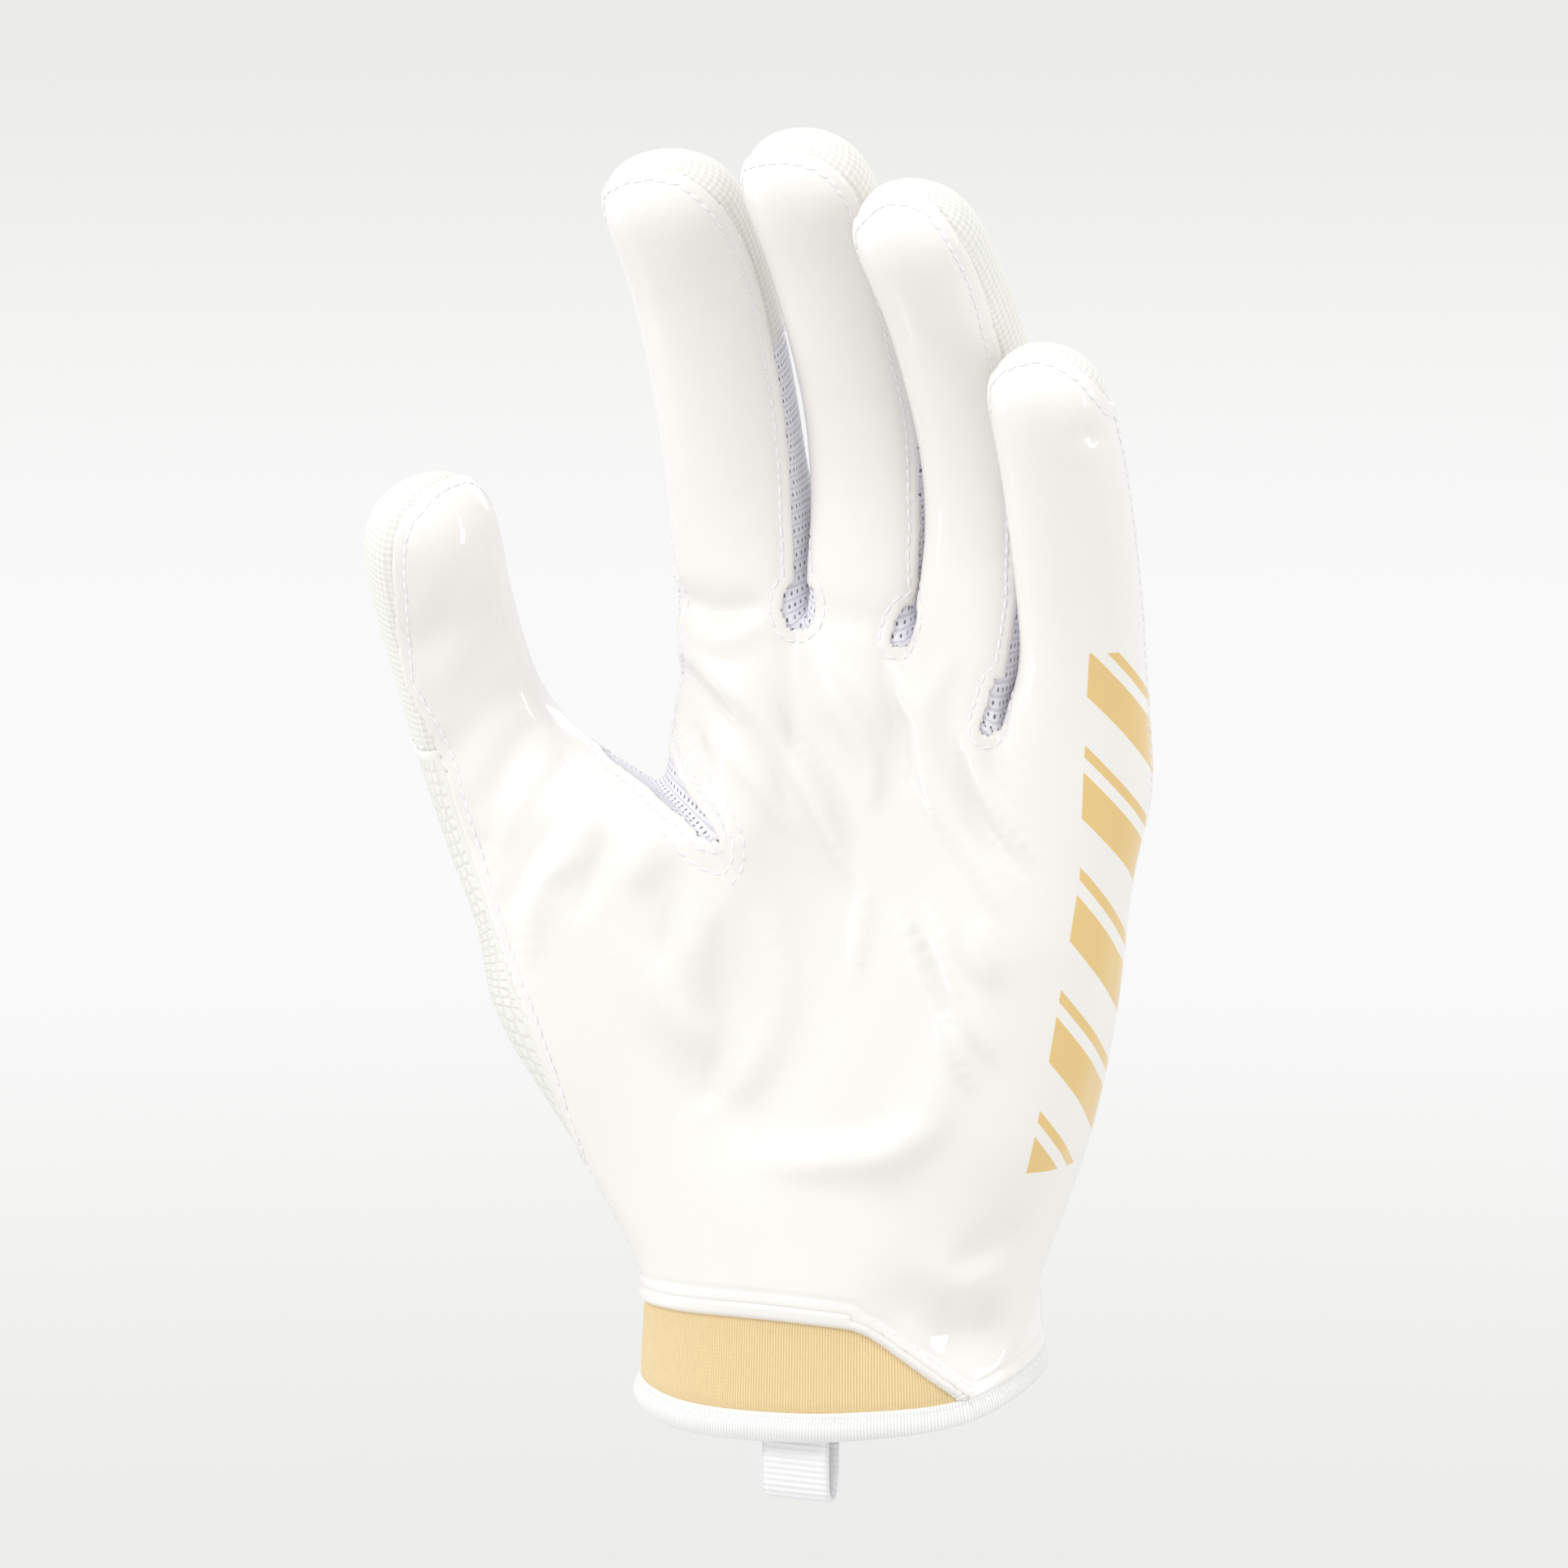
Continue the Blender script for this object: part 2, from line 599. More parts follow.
below, up = net.add(cuff_rings[0]), 0.0
for row, ring in enumerate(cuff_rings[1:]):
    below, up = net.grow(below, ring, lambda column: hand_panel(column, row), up)
for k, section in enumerate((*HAND_SECTIONS, WEB_SECTION)):
    for ring in rows_between(*key_rings[k:k + 4], section[-1]):
        below, up = net.grow(below, ring, lambda column: hand_panel(column, len(cuff_rings)), up)
web_ids = below

web_middle = net.add(web[1:3])
upper_ids = web_ids[FACE:FACE + upper_back + 1] + web_middle[::-1]
lower_guide = np.array([
    upper_ring[k] * 1.5 - knuckle_ring[k] * 0.5 if k > upper_back else thenar_ring[FACE + k]
    for k in range(upper_count)])


def upper_panel(column):
    if column < UPPER_FACE + SIDE:
        return "palm_panel"
    return "back_panel" if column < 2 * UPPER_FACE + SIDE else "web_gusset"


upper_below = upper_ids
net.around = None
for ring in rows_between(lower_guide, upper_ring, knuckle_ring, round_the_fingers(FINGER_GUIDE), UPPER_ROWS):
    upper_below, up = net.grow(upper_below, ring, upper_panel, up)
palm_top = up

starts = {"thumb": web_ids[:FACE + 1] + web_middle + web_ids[web_back:]}
crotch_middle = [net.add(digits[name].pulled_ring(0)[FACE + 1:FACE + SIDE]) for name in FINGERS[:3]]
for k, name in enumerate(FINGERS):
    back_start = UPPER_FACE + SIDE + FACE * (3 - k)
    ulnar = crotch_middle[k] if k < 3 else upper_below[UPPER_FACE + 1:UPPER_FACE + SIDE]
    radial = crotch_middle[k - 1][::-1] if k > 0 else upper_below[upper_back + 1:]
    starts[name] = (upper_below[FACE * k:FACE * k + FACE + 1] + ulnar
                    + upper_below[back_start:back_start + FACE + 1] + radial)

SIDE_PANELS = {
    "thumb": ("thumb_side_panel", "web_gusset"),
    "index": ("web_gusset", "fourchette_index_middle"),
    "middle": ("fourchette_index_middle", "fourchette_middle_ring"),
    "ring": ("fourchette_middle_ring", "fourchette_ring_little"),
    "little": ("fourchette_ring_little", "palm_panel"),
}


def digit_panel(name, column, row):
    cap = name + "_cap"
    radial, ulnar = SIDE_PANELS[name]
    capped = row >= DIGITS[name]["cap_row"]
    if column < FACE:
        return "palm_panel"
    if column < FACE + SIDE:
        return ulnar if not capped or ulnar == "palm_panel" else cap
    if capped:
        return cap
    return "back_panel" if column < 2 * FACE + SIDE else radial


THUMB_CLOTH_DROP = 30
TIP_CLOTH = 2.5
TIP_RISE = 0.8
TIP_MIDDLE_RISE = 0.95
for name, digit in digits.items():
    row = digit.row
    dome_start = 1 - row["dome"] * row["half_depth"] / row["length"]
    rings = [digit.pulled_ring(dome_start * k / row["rows"]) for k in range(1, row["rows"] + 1)]
    base, centre = digit.ring(dome_start), digit.frame(dome_start)[0]
    for angle in np.radians(DOME_ANGLES):
        place = digit.frame(dome_start + (1 - dome_start) * math.sin(angle))[0]
        rings.append((base - centre) * math.cos(angle) ** DOME_ROUNDNESS + place)
    low = starts[name]
    net.around = None
    up = palm_top if name != "thumb" else palm_top - THUMB_CLOTH_DROP
    net.owner = DIGIT_NAMES.index(name)
    for k, ring in enumerate(rings):
        net.cap = k >= row["cap_row"]
        if k == row["cap_row"]:
            net.around = None
        low, up = net.grow(low, ring, lambda column: digit_panel(name, column, k), up)
    # The tip is closed by a patch of four by three faces inside the last ring.
    grid = [[0] * (SIDE + 1) for _ in range(FACE + 1)]
    for i in range(FACE + 1):
        grid[i][0], grid[i][SIDE] = low[i], low[2 * FACE + SIDE - i]
    for j in range(SIDE + 1):
        grid[FACE][j], grid[0][j] = low[FACE + j], low[(DIGIT_COLUMNS - j) % DIGIT_COLUMNS]
    tip, forward = digit.frame(1)[:2]
    for i in range(1, FACE):
        for j in range(1, SIDE):
            corner = [net.points[grid[a][b]] for a, b in ((i, 0), (i, SIDE), (0, j), (FACE, j))]
            point = ((corner[0] + (corner[1] - corner[0]) * j / SIDE)
                     + (corner[2] + (corner[3] - corner[2]) * i / FACE)) / 2
            rise = TIP_MIDDLE_RISE if i == FACE // 2 else TIP_RISE
            point = point + forward * ((tip - point) @ forward) * rise
            grid[i][j] = net.add([point])[0]
    for i in range(FACE):
        for j in range(SIDE):
            cells = ((i, j), (i + 1, j), (i + 1, j + 1), (i, j + 1))
            net.face(tuple(grid[a][b] for a, b in cells), name + "_cap",
                     tuple((a * TIP_CLOTH, up + b * TIP_CLOTH) for a, b in cells))

PANEL_ID = {name: k for k, name in enumerate(sorted(set(net.panels)))}


def gather(index, values, size):
    """Sums of the values that share an index."""
    return np.stack([np.bincount(index, weights=values[:, k], minlength=size) for k in range(3)], axis=1)


def edges_of(faces):
    """The four edges of each face, as (from, to) in face order."""
    return np.stack([faces, np.roll(faces, -1, axis=1)], axis=2).reshape(-1, 2)


def subdivide(points, faces, cloth):
    """One step of smooth subdivision, with the cloth places carried along."""
    count, total = len(points), len(faces)
    centres = points[faces].mean(axis=1)
    ends = np.sort(edges_of(faces), axis=1)
    code = ends[:, 0].astype(np.int64) * count + ends[:, 1]
    code, inverse = np.unique(code, return_inverse=True)
    inverse = inverse.reshape(total, 4)
    pairs = np.stack([code // count, code % count], axis=1)
    uses = np.bincount(inverse.ravel(), minlength=len(code))
    middles = points[pairs].mean(axis=1)
    face_sum = gather(inverse.ravel(), np.repeat(centres, 4, axis=0), len(code))
    rim = uses == 1
    edge_points = np.where(rim[:, None], middles, (middles * 2 + face_sum) / 4)
    valence = np.bincount(faces.ravel(), minlength=count)[:, None]
    around = gather(faces.ravel(), np.repeat(centres, 4, axis=0), count) / valence
    edges = np.bincount(pairs.ravel(), minlength=count)[:, None]
    spokes = gather(pairs.ravel(), np.repeat(middles, 2, axis=0), count) / edges
    moved = (around + spokes * 2 + points * (valence - 3)) / valence
    rim_sum = gather(pairs[rim].ravel(), np.repeat(middles[rim], 2, axis=0), count)
    on_rim = np.bincount(pairs[rim].ravel(), minlength=count) > 0
    moved[on_rim] = points[on_rim] / 2 + rim_sum[on_rim] / 4
    new_points = np.concatenate([moved, edge_points, centres])
    edge_ids = inverse + count
    middle_ids = np.arange(total) + count + len(code)
    middle_cloth = cloth.mean(axis=1)
    new_faces, new_cloth = [], []
    for k in range(4):
        new_faces.append(np.stack([faces[:, k], edge_ids[:, k], middle_ids, edge_ids[:, k - 1]], axis=1))
        ahead = (cloth[:, k] + cloth[:, (k + 1) % 4]) / 2
        behind = (cloth[:, k] + cloth[:, k - 1]) / 2
        new_cloth.append(np.stack([cloth[:, k], ahead, middle_cloth, behind], axis=1))
    return (new_points, np.stack(new_faces, axis=1).reshape(-1, 4),
            np.stack(new_cloth, axis=1).reshape(-1, 4, 2))


def point_normals(points, faces):
    corners = points[faces]
    across = np.cross(corners[:, 2] - corners[:, 0], corners[:, 3] - corners[:, 1])
    return unit(gather(faces.ravel(), np.repeat(across, 4, axis=0), len(points)))


surface = np.array(net.points)
faces = np.array(net.faces)
cloth = np.array(net.cloth, dtype=float)
labels = np.array([PANEL_ID[name] for name in net.panels])
owners, capped = np.array(net.owners), np.array(net.capped)
SMOOTHING_STEPS = 3
for step in range(SMOOTHING_STEPS):
    coarse_surface, coarse_faces, coarse_labels = surface, faces, labels
    surface, faces, cloth = subdivide(surface, faces, cloth)
    labels, owners, capped = (np.repeat(values, 4) for values in (labels, owners, capped))

# Folds and dents that the cloth takes on the hand.
# The coated palm is stiff enough to crease where the digits bend, and the mesh follows it.

# Each fold runs through places on the picture plane, in its pixels: valleys are pressed
# in and ridges raised. Width and height are in millimetres.
FOLDS = (
    # thumb, side folds towards the web
    (((660, 890), (625, 940), (592, 1000)), 3.2, -1.1),
    (((650, 760), (600, 815), (550, 880)), 4.5, -1.0),
    (((690, 1000), (660, 1055), (633, 1115)), 3.0, -1.1),
    (((745, 1021), (730, 1065), (712, 1125)), 2.8, -1.2),
    (((825, 1050), (826, 1100), (815, 1180)), 3.6, -1.2),
    (((678, 932), (640, 990), (606, 1060)), 2.4, 0.9),
    (((737, 965), (708, 1048), (665, 1088), (655, 1180)), 2.6, 1.1),
    (((804, 1021), (786, 1085)), 2.6, 1.0),
    (((856, 1075), (852, 1150), (862, 1230)), 2.8, 0.9),
    # palm, from the index finger's root to the heel
    (((836, 820), (868, 850), (905, 895)), 2.2, -1.2),
    (((850, 800), (890, 840), (925, 880)), 2.0, 0.8),
    (((905, 835), (950, 895), (1000, 975), (1035, 1070)), 2.4, 1.25),
    (((1000, 790), (1040, 870), (1075, 940), (1078, 990)), 2.2, 1.1),
    (((880, 905), (930, 960), (970, 1020)), 2.0, 0.9),
    (((980, 900), (1025, 990), (1050, 1060)), 1.8, -0.9),
    (((1090, 820), (1108, 890), (1120, 970)), 2.0, -0.8),
    (((1105, 825), (1130, 880)), 2.4, 1.0),
    (((1170, 810), (1145, 880), (1150, 960), (1190, 1040), (1240, 1120)), 2.4, 1.2),
    (((1190, 880), (1215, 960), (1270, 1050)), 2.0, 0.9),
    (((1180, 920), (1205, 1000), (1260, 1075)), 1.6, -0.9),
    (((1215, 1140), (1230, 1200)), 2.8, 0.9),
    (((1060, 1090), (1052, 1200)), 2.0, 0.8),
    (((1105, 1130), (1160, 1240), (1195, 1330)), 2.0, 1.1),
    (((1145, 1120), (1190, 1220), (1225, 1300)), 1.8, 1.0),
    (((1130, 1150), (1175, 1260)), 1.4, -0.8),
    (((930, 1430), (1000, 1432), (1090, 1420), (1150, 1385), (1165, 1330)), 3.4, 1.3),
    (((945, 1130), (952, 1230), (915, 1320), (860, 1375)), 4.0, 1.4),
    (((770, 1160), (830, 1250), (870, 1290)), 4.0, 0.8),
    # wrist
    (((1180, 1560), (1220, 1535), (1260, 1500)), 3.0, -1.0),
    (((1150, 1560), (1190, 1590), (1230, 1570)), 4.0, 0.8),
    (((1160, 1680), (1195, 1640), (1240, 1610)), 5.0, -1.6),
    # finger roots
    (((838, 735), (880, 757), (930, 745)), 2.6, -1.0),
    (((845, 765), (890, 785), (930, 770)), 2.6, 0.8),
    (((1330, 540), (1372, 525)), 2.0, -0.8),
)
FOLD_STRENGTH = 1.3
FOLD_SWELL = 0.7
FOLD_END_WIDTH = 0.55
FOLD_FACING = 0.1
FOLD_FACING_RAMP = 0.5
# Broad forms, on the front view: x and z in shares of the hand's half width and root height
BROAD_FORMS = (
    (-0.18, 0.42, 0.06, 0.68, 12, -3.2),
    (-0.28, 0.7, -0.3, 0.42, 4.5, -1.6),
    (0.72, 0.4, 0.76, 0.62, 13, 1.8),
    (0.42, 0.15, 0.66, 0.12, 7, -2.0),
    (-0.32, 0.94, 0.3, 0.93, 6, 1.1),
    (-0.48, 1.035, -0.2, 1.04, 3.2, -0.9),
    (0.0, 1.04, 0.3, 1.03, 3.2, -0.8),
    (-1.24, 0.98, -0.98, 1.06, 4.0, -1.4),
    (-1.2, 0.84, -0.92, 0.95, 4.0, -1.6),
    (-1.06, 0.72, -0.84, 0.84, 4.0, -1.3),
    (0.36, 0.36, 0.6, 0.52, 4.5, 1.0),
)


def along_line(places, start, end, width):
    """How near the places lie to a line: 1 on it, fading over its width."""
    run = end - start
    length = np.linalg.norm(run)
    run = run / length
    offset = places - start
    along = offset @ run
    away = offset[:, 0] * run[1] - offset[:, 1] * run[0]
    past = np.maximum(np.maximum(-along, along - length), 0)
    return np.exp(-(away ** 2 + past ** 2) / width ** 2)


def rounded(places, steps=6):
    """A smooth line through places, in short steps."""
    places = np.asarray(places, dtype=float)
    slopes = np.gradient(places, axis=0)
    line = [hermite(places[k], places[k + 1], slopes[k], slopes[k + 1], t)
            for k in range(len(places) - 1) for t in np.linspace(0, 1, steps, endpoint=False)]
    return np.array(line + [places[-1]])


def fold_height(points):
    height = np.zeros(len(points))
    for x0, z0, x1, z1, width, rise in BROAD_FORMS:
        start, end = np.array([(x0, z0), (x1, z1)]) * HAND_SIZE[::2]
        height += rise * along_line(points[:, ::2], start, end, width)
    seen = on_picture(points)
    for places, width, rise in FOLDS:
        line = from_picture(rounded(places))
        shares = (np.arange(len(line) - 1) + 0.5) / (len(line) - 1)
        swell = np.sin(math.pi * shares) ** FOLD_SWELL
        box_low, box_high = line.min(axis=0) - 3 * width, line.max(axis=0) + 3 * width
        close = np.nonzero(((seen > box_low) & (seen < box_high)).all(axis=1))[0]
        near = np.zeros(len(close))
        for a, b, part in zip(line, line[1:], swell):
            reach = width * (FOLD_END_WIDTH + (1 - FOLD_END_WIDTH) * part)
            near = np.maximum(near, part * along_line(seen[close], a, b, reach))
        height[close] += FOLD_STRENGTH * rise * near
    return height


def folded(points, faces):
    normals = point_normals(points, faces)
    facing = smooth((-normals[:, 1] - FOLD_FACING) / FOLD_FACING_RAMP)
    points = points + normals * (facing * fold_height(points))[:, None]
    return points, point_normals(points, faces)


surface, normals = folded(surface, faces)
coarse_surface, coarse_normals = folded(coarse_surface, coarse_faces)

# Cutting lines.
# The palm's synthetic leather is cut to lines drawn here on the picture plane: round
# arches at the fingertips, the long edge down the thumb, the slit of the web and the
# keyholes at the crotches. Faces beyond a line go to the neighbouring piece.

# Edge of the palm panel over each digit, on the picture plane in its pixels
PALM_OUTLINES = {
    "thumb": (
        (786, 1950), (1600, 1950), (1600, 560), (640, 560), (612, 640), (600, 607), (588, 592),
        (562, 586), (533, 600), (512, 620), (495, 642), (487, 662), (485, 700), (489, 760),
        (494, 810), (500, 842), (520, 880),
        (539, 920), (554, 960), (569, 1015), (585, 1060), (600, 1105), (622, 1180), (645, 1240),
        (690, 1360), (740, 1480), (775, 1560), (786, 1600),
    ),
    "index": (
        (600, 900), (600, 300), (700, 290), (736, 250), (750, 224), (775, 213), (805, 209),
        (840, 215), (865, 232),
        (890, 257), (910, 290), (925, 325), (937, 365), (947, 412), (957, 465), (965, 515), (970, 565),
        (974, 640), (977, 700), (978, 900),
    ),
    "middle": (
        (800, 900), (800, 260), (880, 240), (905, 205), (925, 194), (950, 188), (980, 188),
        (1010, 197), (1035, 215),
        (1050, 235), (1060, 260), (1067, 290), (1080, 330), (1092, 365), (1100, 395), (1107, 430),
        (1117, 465), (1125, 505), (1130, 545), (1132, 640), (1129, 730), (1122, 770), (1113, 806),
        (1112, 900),
    ),
    "ring": (
        (940, 900), (940, 310), (1035, 300), (1052, 275), (1065, 260), (1080, 246), (1100, 240), (1125, 242),
        (1150, 252), (1165, 270), (1177, 290), (1192, 315), (1205, 345), (1215, 375), (1225, 410),
        (1235, 450), (1246, 500), (1252, 560), (1255, 650), (1252, 740), (1242, 800), (1232, 855),
        (1222, 895), (1217, 914), (1216, 980),
    ),
    "little": (
        (1000, 1000), (1000, 520), (1185, 510), (1205, 482), (1220, 466), (1235, 449), (1255, 440),
        (1280, 436),
        (1300, 440), (1320, 450), (1337, 463), (1352, 480), (1365, 496), (1385, 512), (1460, 530),
        (1600, 560), (1600, 1000),
    ),
}
WEB_WINDOW = ((690, 1065), (930, 1065), (930, 800), (690, 800))
WEB_SLIT = (
    (728, 905), (748, 936), (775, 955), (798, 972), (815, 989), (840, 1009), (862, 1031),
    (878, 1040), (889, 1039), (886, 1028), (866, 1000), (838, 960), (827, 925), (823, 890),
    (826, 850), (829, 838), (765, 838),
)
# crotch, keyhole from and to on the picture, radius in millimetres
KEYHOLES = (
    ("fourchette_index_middle", (985, 737), (984, 755), 2.95),
    ("fourchette_middle_ring", (1120, 758), (1109, 786), 1.8),
    ("fourchette_ring_little", (1233, 845), (1215, 898), 1.4),
)


def beyond(outline, places):
    """Distance from a closed outline: positive outside, negative inside."""
    corners = from_picture(outline)
    nearest = np.full(len(places), 1e9)
    inside = np.zeros(len(places), dtype=bool)
    for start, end in zip(corners, np.roll(corners, -1, axis=0)):
        run = end - start
        share = np.clip((places - start) @ run / (run @ run), 0, 1)
        nearest = np.minimum(nearest, np.linalg.norm(places - start - share[:, None] * run, axis=1))
        spans = (start[1] > places[:, 1]) != (end[1] > places[:, 1])
        cut = (end[0] - start[0]) * (places[:, 1] - start[1]) / ((end[1] - start[1]) or 1e-9) + start[0]
        inside ^= spans & (places[:, 0] < cut)
    return np.where(inside, -nearest, nearest)


def snap(field, chosen):
    """Moves points of the chosen faces onto the line where the field is zero."""
    edge = edges_of(faces[chosen])
    a, b = field[edge[:, 0]], field[edge[:, 1]]
    crossing = (a * b) < 0
    share = np.where(crossing, a / np.where(crossing, a - b, 1), 0)
    place = surface[edge[:, 0]] + (surface[edge[:, 1]] - surface[edge[:, 0]]) * share[:, None]
    for moved, column in ((crossing & (share < 0.5), 0), (crossing & (share >= 0.5), 1)):
        surface[edge[moved, column]] = place[moved]
        field[edge[moved, column]] = 0.0


def on_faces(values):
    """The mean of a value at each face's corners."""
    return values[faces].mean(axis=1)


def labelled(*panels):
    """Faces that carry one of these labels."""
    return np.isin(labels, panels)


# How a face turns to the camera: 1 square to it, 0 edge on. Lines cut past the edge.
PAST_EDGE = 0.3
CAP_FACING = 0.04
BEHIND = -0.1
WRAP = 0.45
WRAP_START = 9.0
WRAP_RAMP = 8.0
WRAP_SCALE = 9.0
LITTLE_LEVEL = 530
PALM = PANEL_ID["palm_panel"]
facing = on_faces(normals @ view_back)
for name, outline in PALM_OUTLINES.items():
    radial, ulnar = SIDE_PANELS[name]
    side = radial if name == "thumb" else ulnar
    cap, side = PANEL_ID[name + "_cap"], PANEL_ID[side]
    zone = owners == DIGIT_NAMES.index(name)
    if name == "thumb":
        zone |= (owners == HAND_OWNER) & labelled(PALM, side)
    field = beyond(outline, on_picture(surface))
    snap(field, zone & (facing > -PAST_EDGE))
    outside = on_faces(field) > 0
    beyond_line = zone & outside & (labels == PALM)
    labels[beyond_line] = np.where(capped[beyond_line], cap, side)
    labels[zone & ~outside & (facing > CAP_FACING) & labelled(cap, side)] = PALM
    if name == "little":
        # The cap's edge runs level behind the arch.
        level = on_picture(surface)[:, 1] - from_picture(((0, LITTLE_LEVEL),))[0, 1]
        hidden = zone & (facing < 0.0) & (labels == PALM)
        snap(level, hidden & (facing < BEHIND))
        labels[hidden & (on_faces(level) > 0)] = cap
    # The panel wraps round the digit's other side.
    other = PANEL_ID[ulnar if name == "thumb" else radial]
    rise = (surface - digits[name].path[0]) @ digits[name].ways[0]
    depth = WRAP * smooth(-field / WRAP_RAMP) * smooth((rise - WRAP_START) / WRAP_RAMP)
    wrap = np.maximum(-WRAP_SCALE * (depth + normals @ view_back),
                      np.maximum(field, WRAP_START - rise))
    turned = on_faces(normals @ view_right) * (1 if name == "thumb" else -1) > 0
    wrapped = zone & turned & labelled(PALM, other, cap) & (facing < PAST_EDGE)
    snap(wrap, wrapped)
    labels[wrapped & (on_faces(wrap) < 0)] = PALM

gusset = PANEL_ID["web_gusset"]
seen = on_picture(surface)
field = beyond(WEB_SLIT, seen)
window = on_faces(beyond(WEB_WINDOW, seen)) < 0
zone = window & (facing > BEHIND) & labelled(PALM, gusset)
snap(field, zone)
outside = on_faces(field) > 0
labels[zone & outside & (labels == gusset) & (facing > 0.0)] = PALM
labels[zone & ~outside] = gusset

KEYHOLE_FACING = 0.2
OUT_OF_REACH = 9.0
for panel, start, end, radius in KEYHOLES:
    line = from_picture((start, end))
    run = line[1] - line[0]
    seen = on_picture(surface)
    share = np.clip((seen - line[0]) @ run / (run @ run), 0, 1)
    field = np.linalg.norm(seen - line[0] - share[:, None] * run, axis=1) - radius
    field[normals[:, 1] > -KEYHOLE_FACING] = OUT_OF_REACH
    zone = labels == PALM
    snap(field, zone)
    labels[zone & (on_faces(field) < 0)] = PANEL_ID[panel]

# The slanting end of the gold band: below the first line gold, above the second palm
BAND_LINE = (
    (1035, 1636), (1050, 1639), (1070, 1647), (1090, 1660), (1120, 1682), (1160, 1710), (1185, 1728),
    (1230, 1760), (1330, 1830), (900, 1830), (900, 1700),
)
PALM_LINE = (
    (1035, 1623), (1050, 1627), (1070, 1634), (1090, 1646), (1120, 1668), (1160, 1696), (1195, 1722),
    (1240, 1752), (1330, 1815), (1330, 1500), (900, 1500), (900, 1612),
)
CORNER_COLUMN = 1050
CORNER_TOP = 1.15 * CUFF_HEIGHT
CORNER_FACING = 0.05
seen = on_picture(surface)
band_id, edge_id = PANEL_ID["cuff_band"], PANEL_ID["palm_edge_binding"]
corner = labelled(PALM, band_id, edge_id) & (facing > CORNER_FACING)
corner &= on_faces(seen)[:, 0] > (CORNER_COLUMN - ORIGIN_COLUMN) * PICTURE_SCALE
corner &= on_faces(surface)[:, 2] < CORNER_TOP
for outline, inside_label in ((PALM_LINE, PALM), (BAND_LINE, band_id)):
    field = beyond(outline, seen)
    snap(field, corner)
    seen = on_picture(surface)
    inside = on_faces(field) < 0
    labels[corner & inside] = inside_label
    labels[corner & ~inside & (labels == inside_label)] = edge_id


def islands(label):
    """Groups of joined faces with one label, the largest left out."""
    own = np.nonzero(labels == label)[0]
    root = np.arange(len(own))

    def top(k):
        while root[k] != k:
            root[k] = root[root[k]]
            k = root[k]
        return k

    first = {}
    for k, ring in enumerate(faces[own].tolist()):
        for a, b in zip(ring, ring[1:] + ring[:1]):
            edge = (a, b) if a < b else (b, a)
            if edge in first:
                root[top(k)] = top(first[edge])
            else:
                first[edge] = k
    groups = {}
    for k in range(len(own)):
        groups.setdefault(top(k), []).append(own[k])
    return sorted(groups.values(), key=len)[:-1]


# Scraps that the cutting lines leave go to the palm panel round them, and scraps of the
# palm panel to the piece they touch most.
for label in PANEL_ID.values():
    for scrap in islands(label):
        labels[scrap] = PALM
        if label == PALM:
            touching = np.isin(faces, faces[scrap]).any(axis=1) & (labels != PALM)
            values, counts = np.unique(labels[touching], return_counts=True)
            labels[scrap] = values[counts.argmax()]

normals = point_normals(surface, faces)
skin = BVHTree.FromPolygons(surface.tolist(), faces.tolist())

# Palm panel.
# One sheet of white synthetic leather under a thick clear grip coat, wrapped round the
# fingertips and the little finger's side, its rolled edge lapped over the mesh and sewn.


def rim_of(panel_faces):
    """Edges with a face on one side only, each as (from, to) in face order."""
    edge = edges_of(panel_faces)
    size = int(panel_faces.max()) + 1
    code = edge[:, 0].astype(np.int64) * size + edge[:, 1]
    twin = edge[:, 1].astype(np.int64) * size + edge[:, 0]
    return edge[~np.isin(code, twin)]


def loops_of(rim):
    """Closed chains of rim points."""
    ahead = {}
    for a, b in rim:
        ahead.setdefault(int(a), []).append(int(b))
    chains = []
    while ahead:
        start = next(iter(ahead))
        chain = [start]
        while True:
            nexts = ahead.get(chain[-1])
            if not nexts:
                break
            step = nexts.pop()
            if not nexts:
                del ahead[chain[-1]]
            if step == start:
                break
            chain.append(step)
        chains.append(np.array(chain))
    return chains


def tree_of(points):
    tree = KDTree(len(points))
    for k, point in enumerate(points):
        tree.insert(point, k)
    tree.balance()
    return tree


FAR_INSIDE = 99.0


class Panel:
    """The faces of one cloth piece, its rim, and how far each point lies from the rim."""

    def __init__(self, name):
        self.name = name
        own = labels == PANEL_ID[name]
        self.faces, self.cloth = faces[own], cloth[own]
        rim = rim_of(self.faces)
        self.loops = loops_of(rim)
        self.tree = tree_of(np.concatenate([surface[rim[:, 0]], surface[rim].mean(axis=1)]))
        self.used = np.unique(self.faces)
        self.distance = np.full(len(surface), FAR_INSIDE)
        self.distance[self.used] = self.gap_to(surface[self.used])
        self.inward = np.zeros((len(surface), 3))
        for chain in self.loops:
            run = np.roll(surface[chain], -1, axis=0) - np.roll(surface[chain], 1, axis=0)
            way = unit(np.cross(normals[chain], unit(run)))
            for _ in range(2):
                way = unit(way + np.roll(way, 1, axis=0) + np.roll(way, -1, axis=0))
            self.inward[chain] = way

    def gap_to(self, points):
        return np.array([self.tree.find(p)[2] for p in points])


CLOTH_SCALE = 0.01


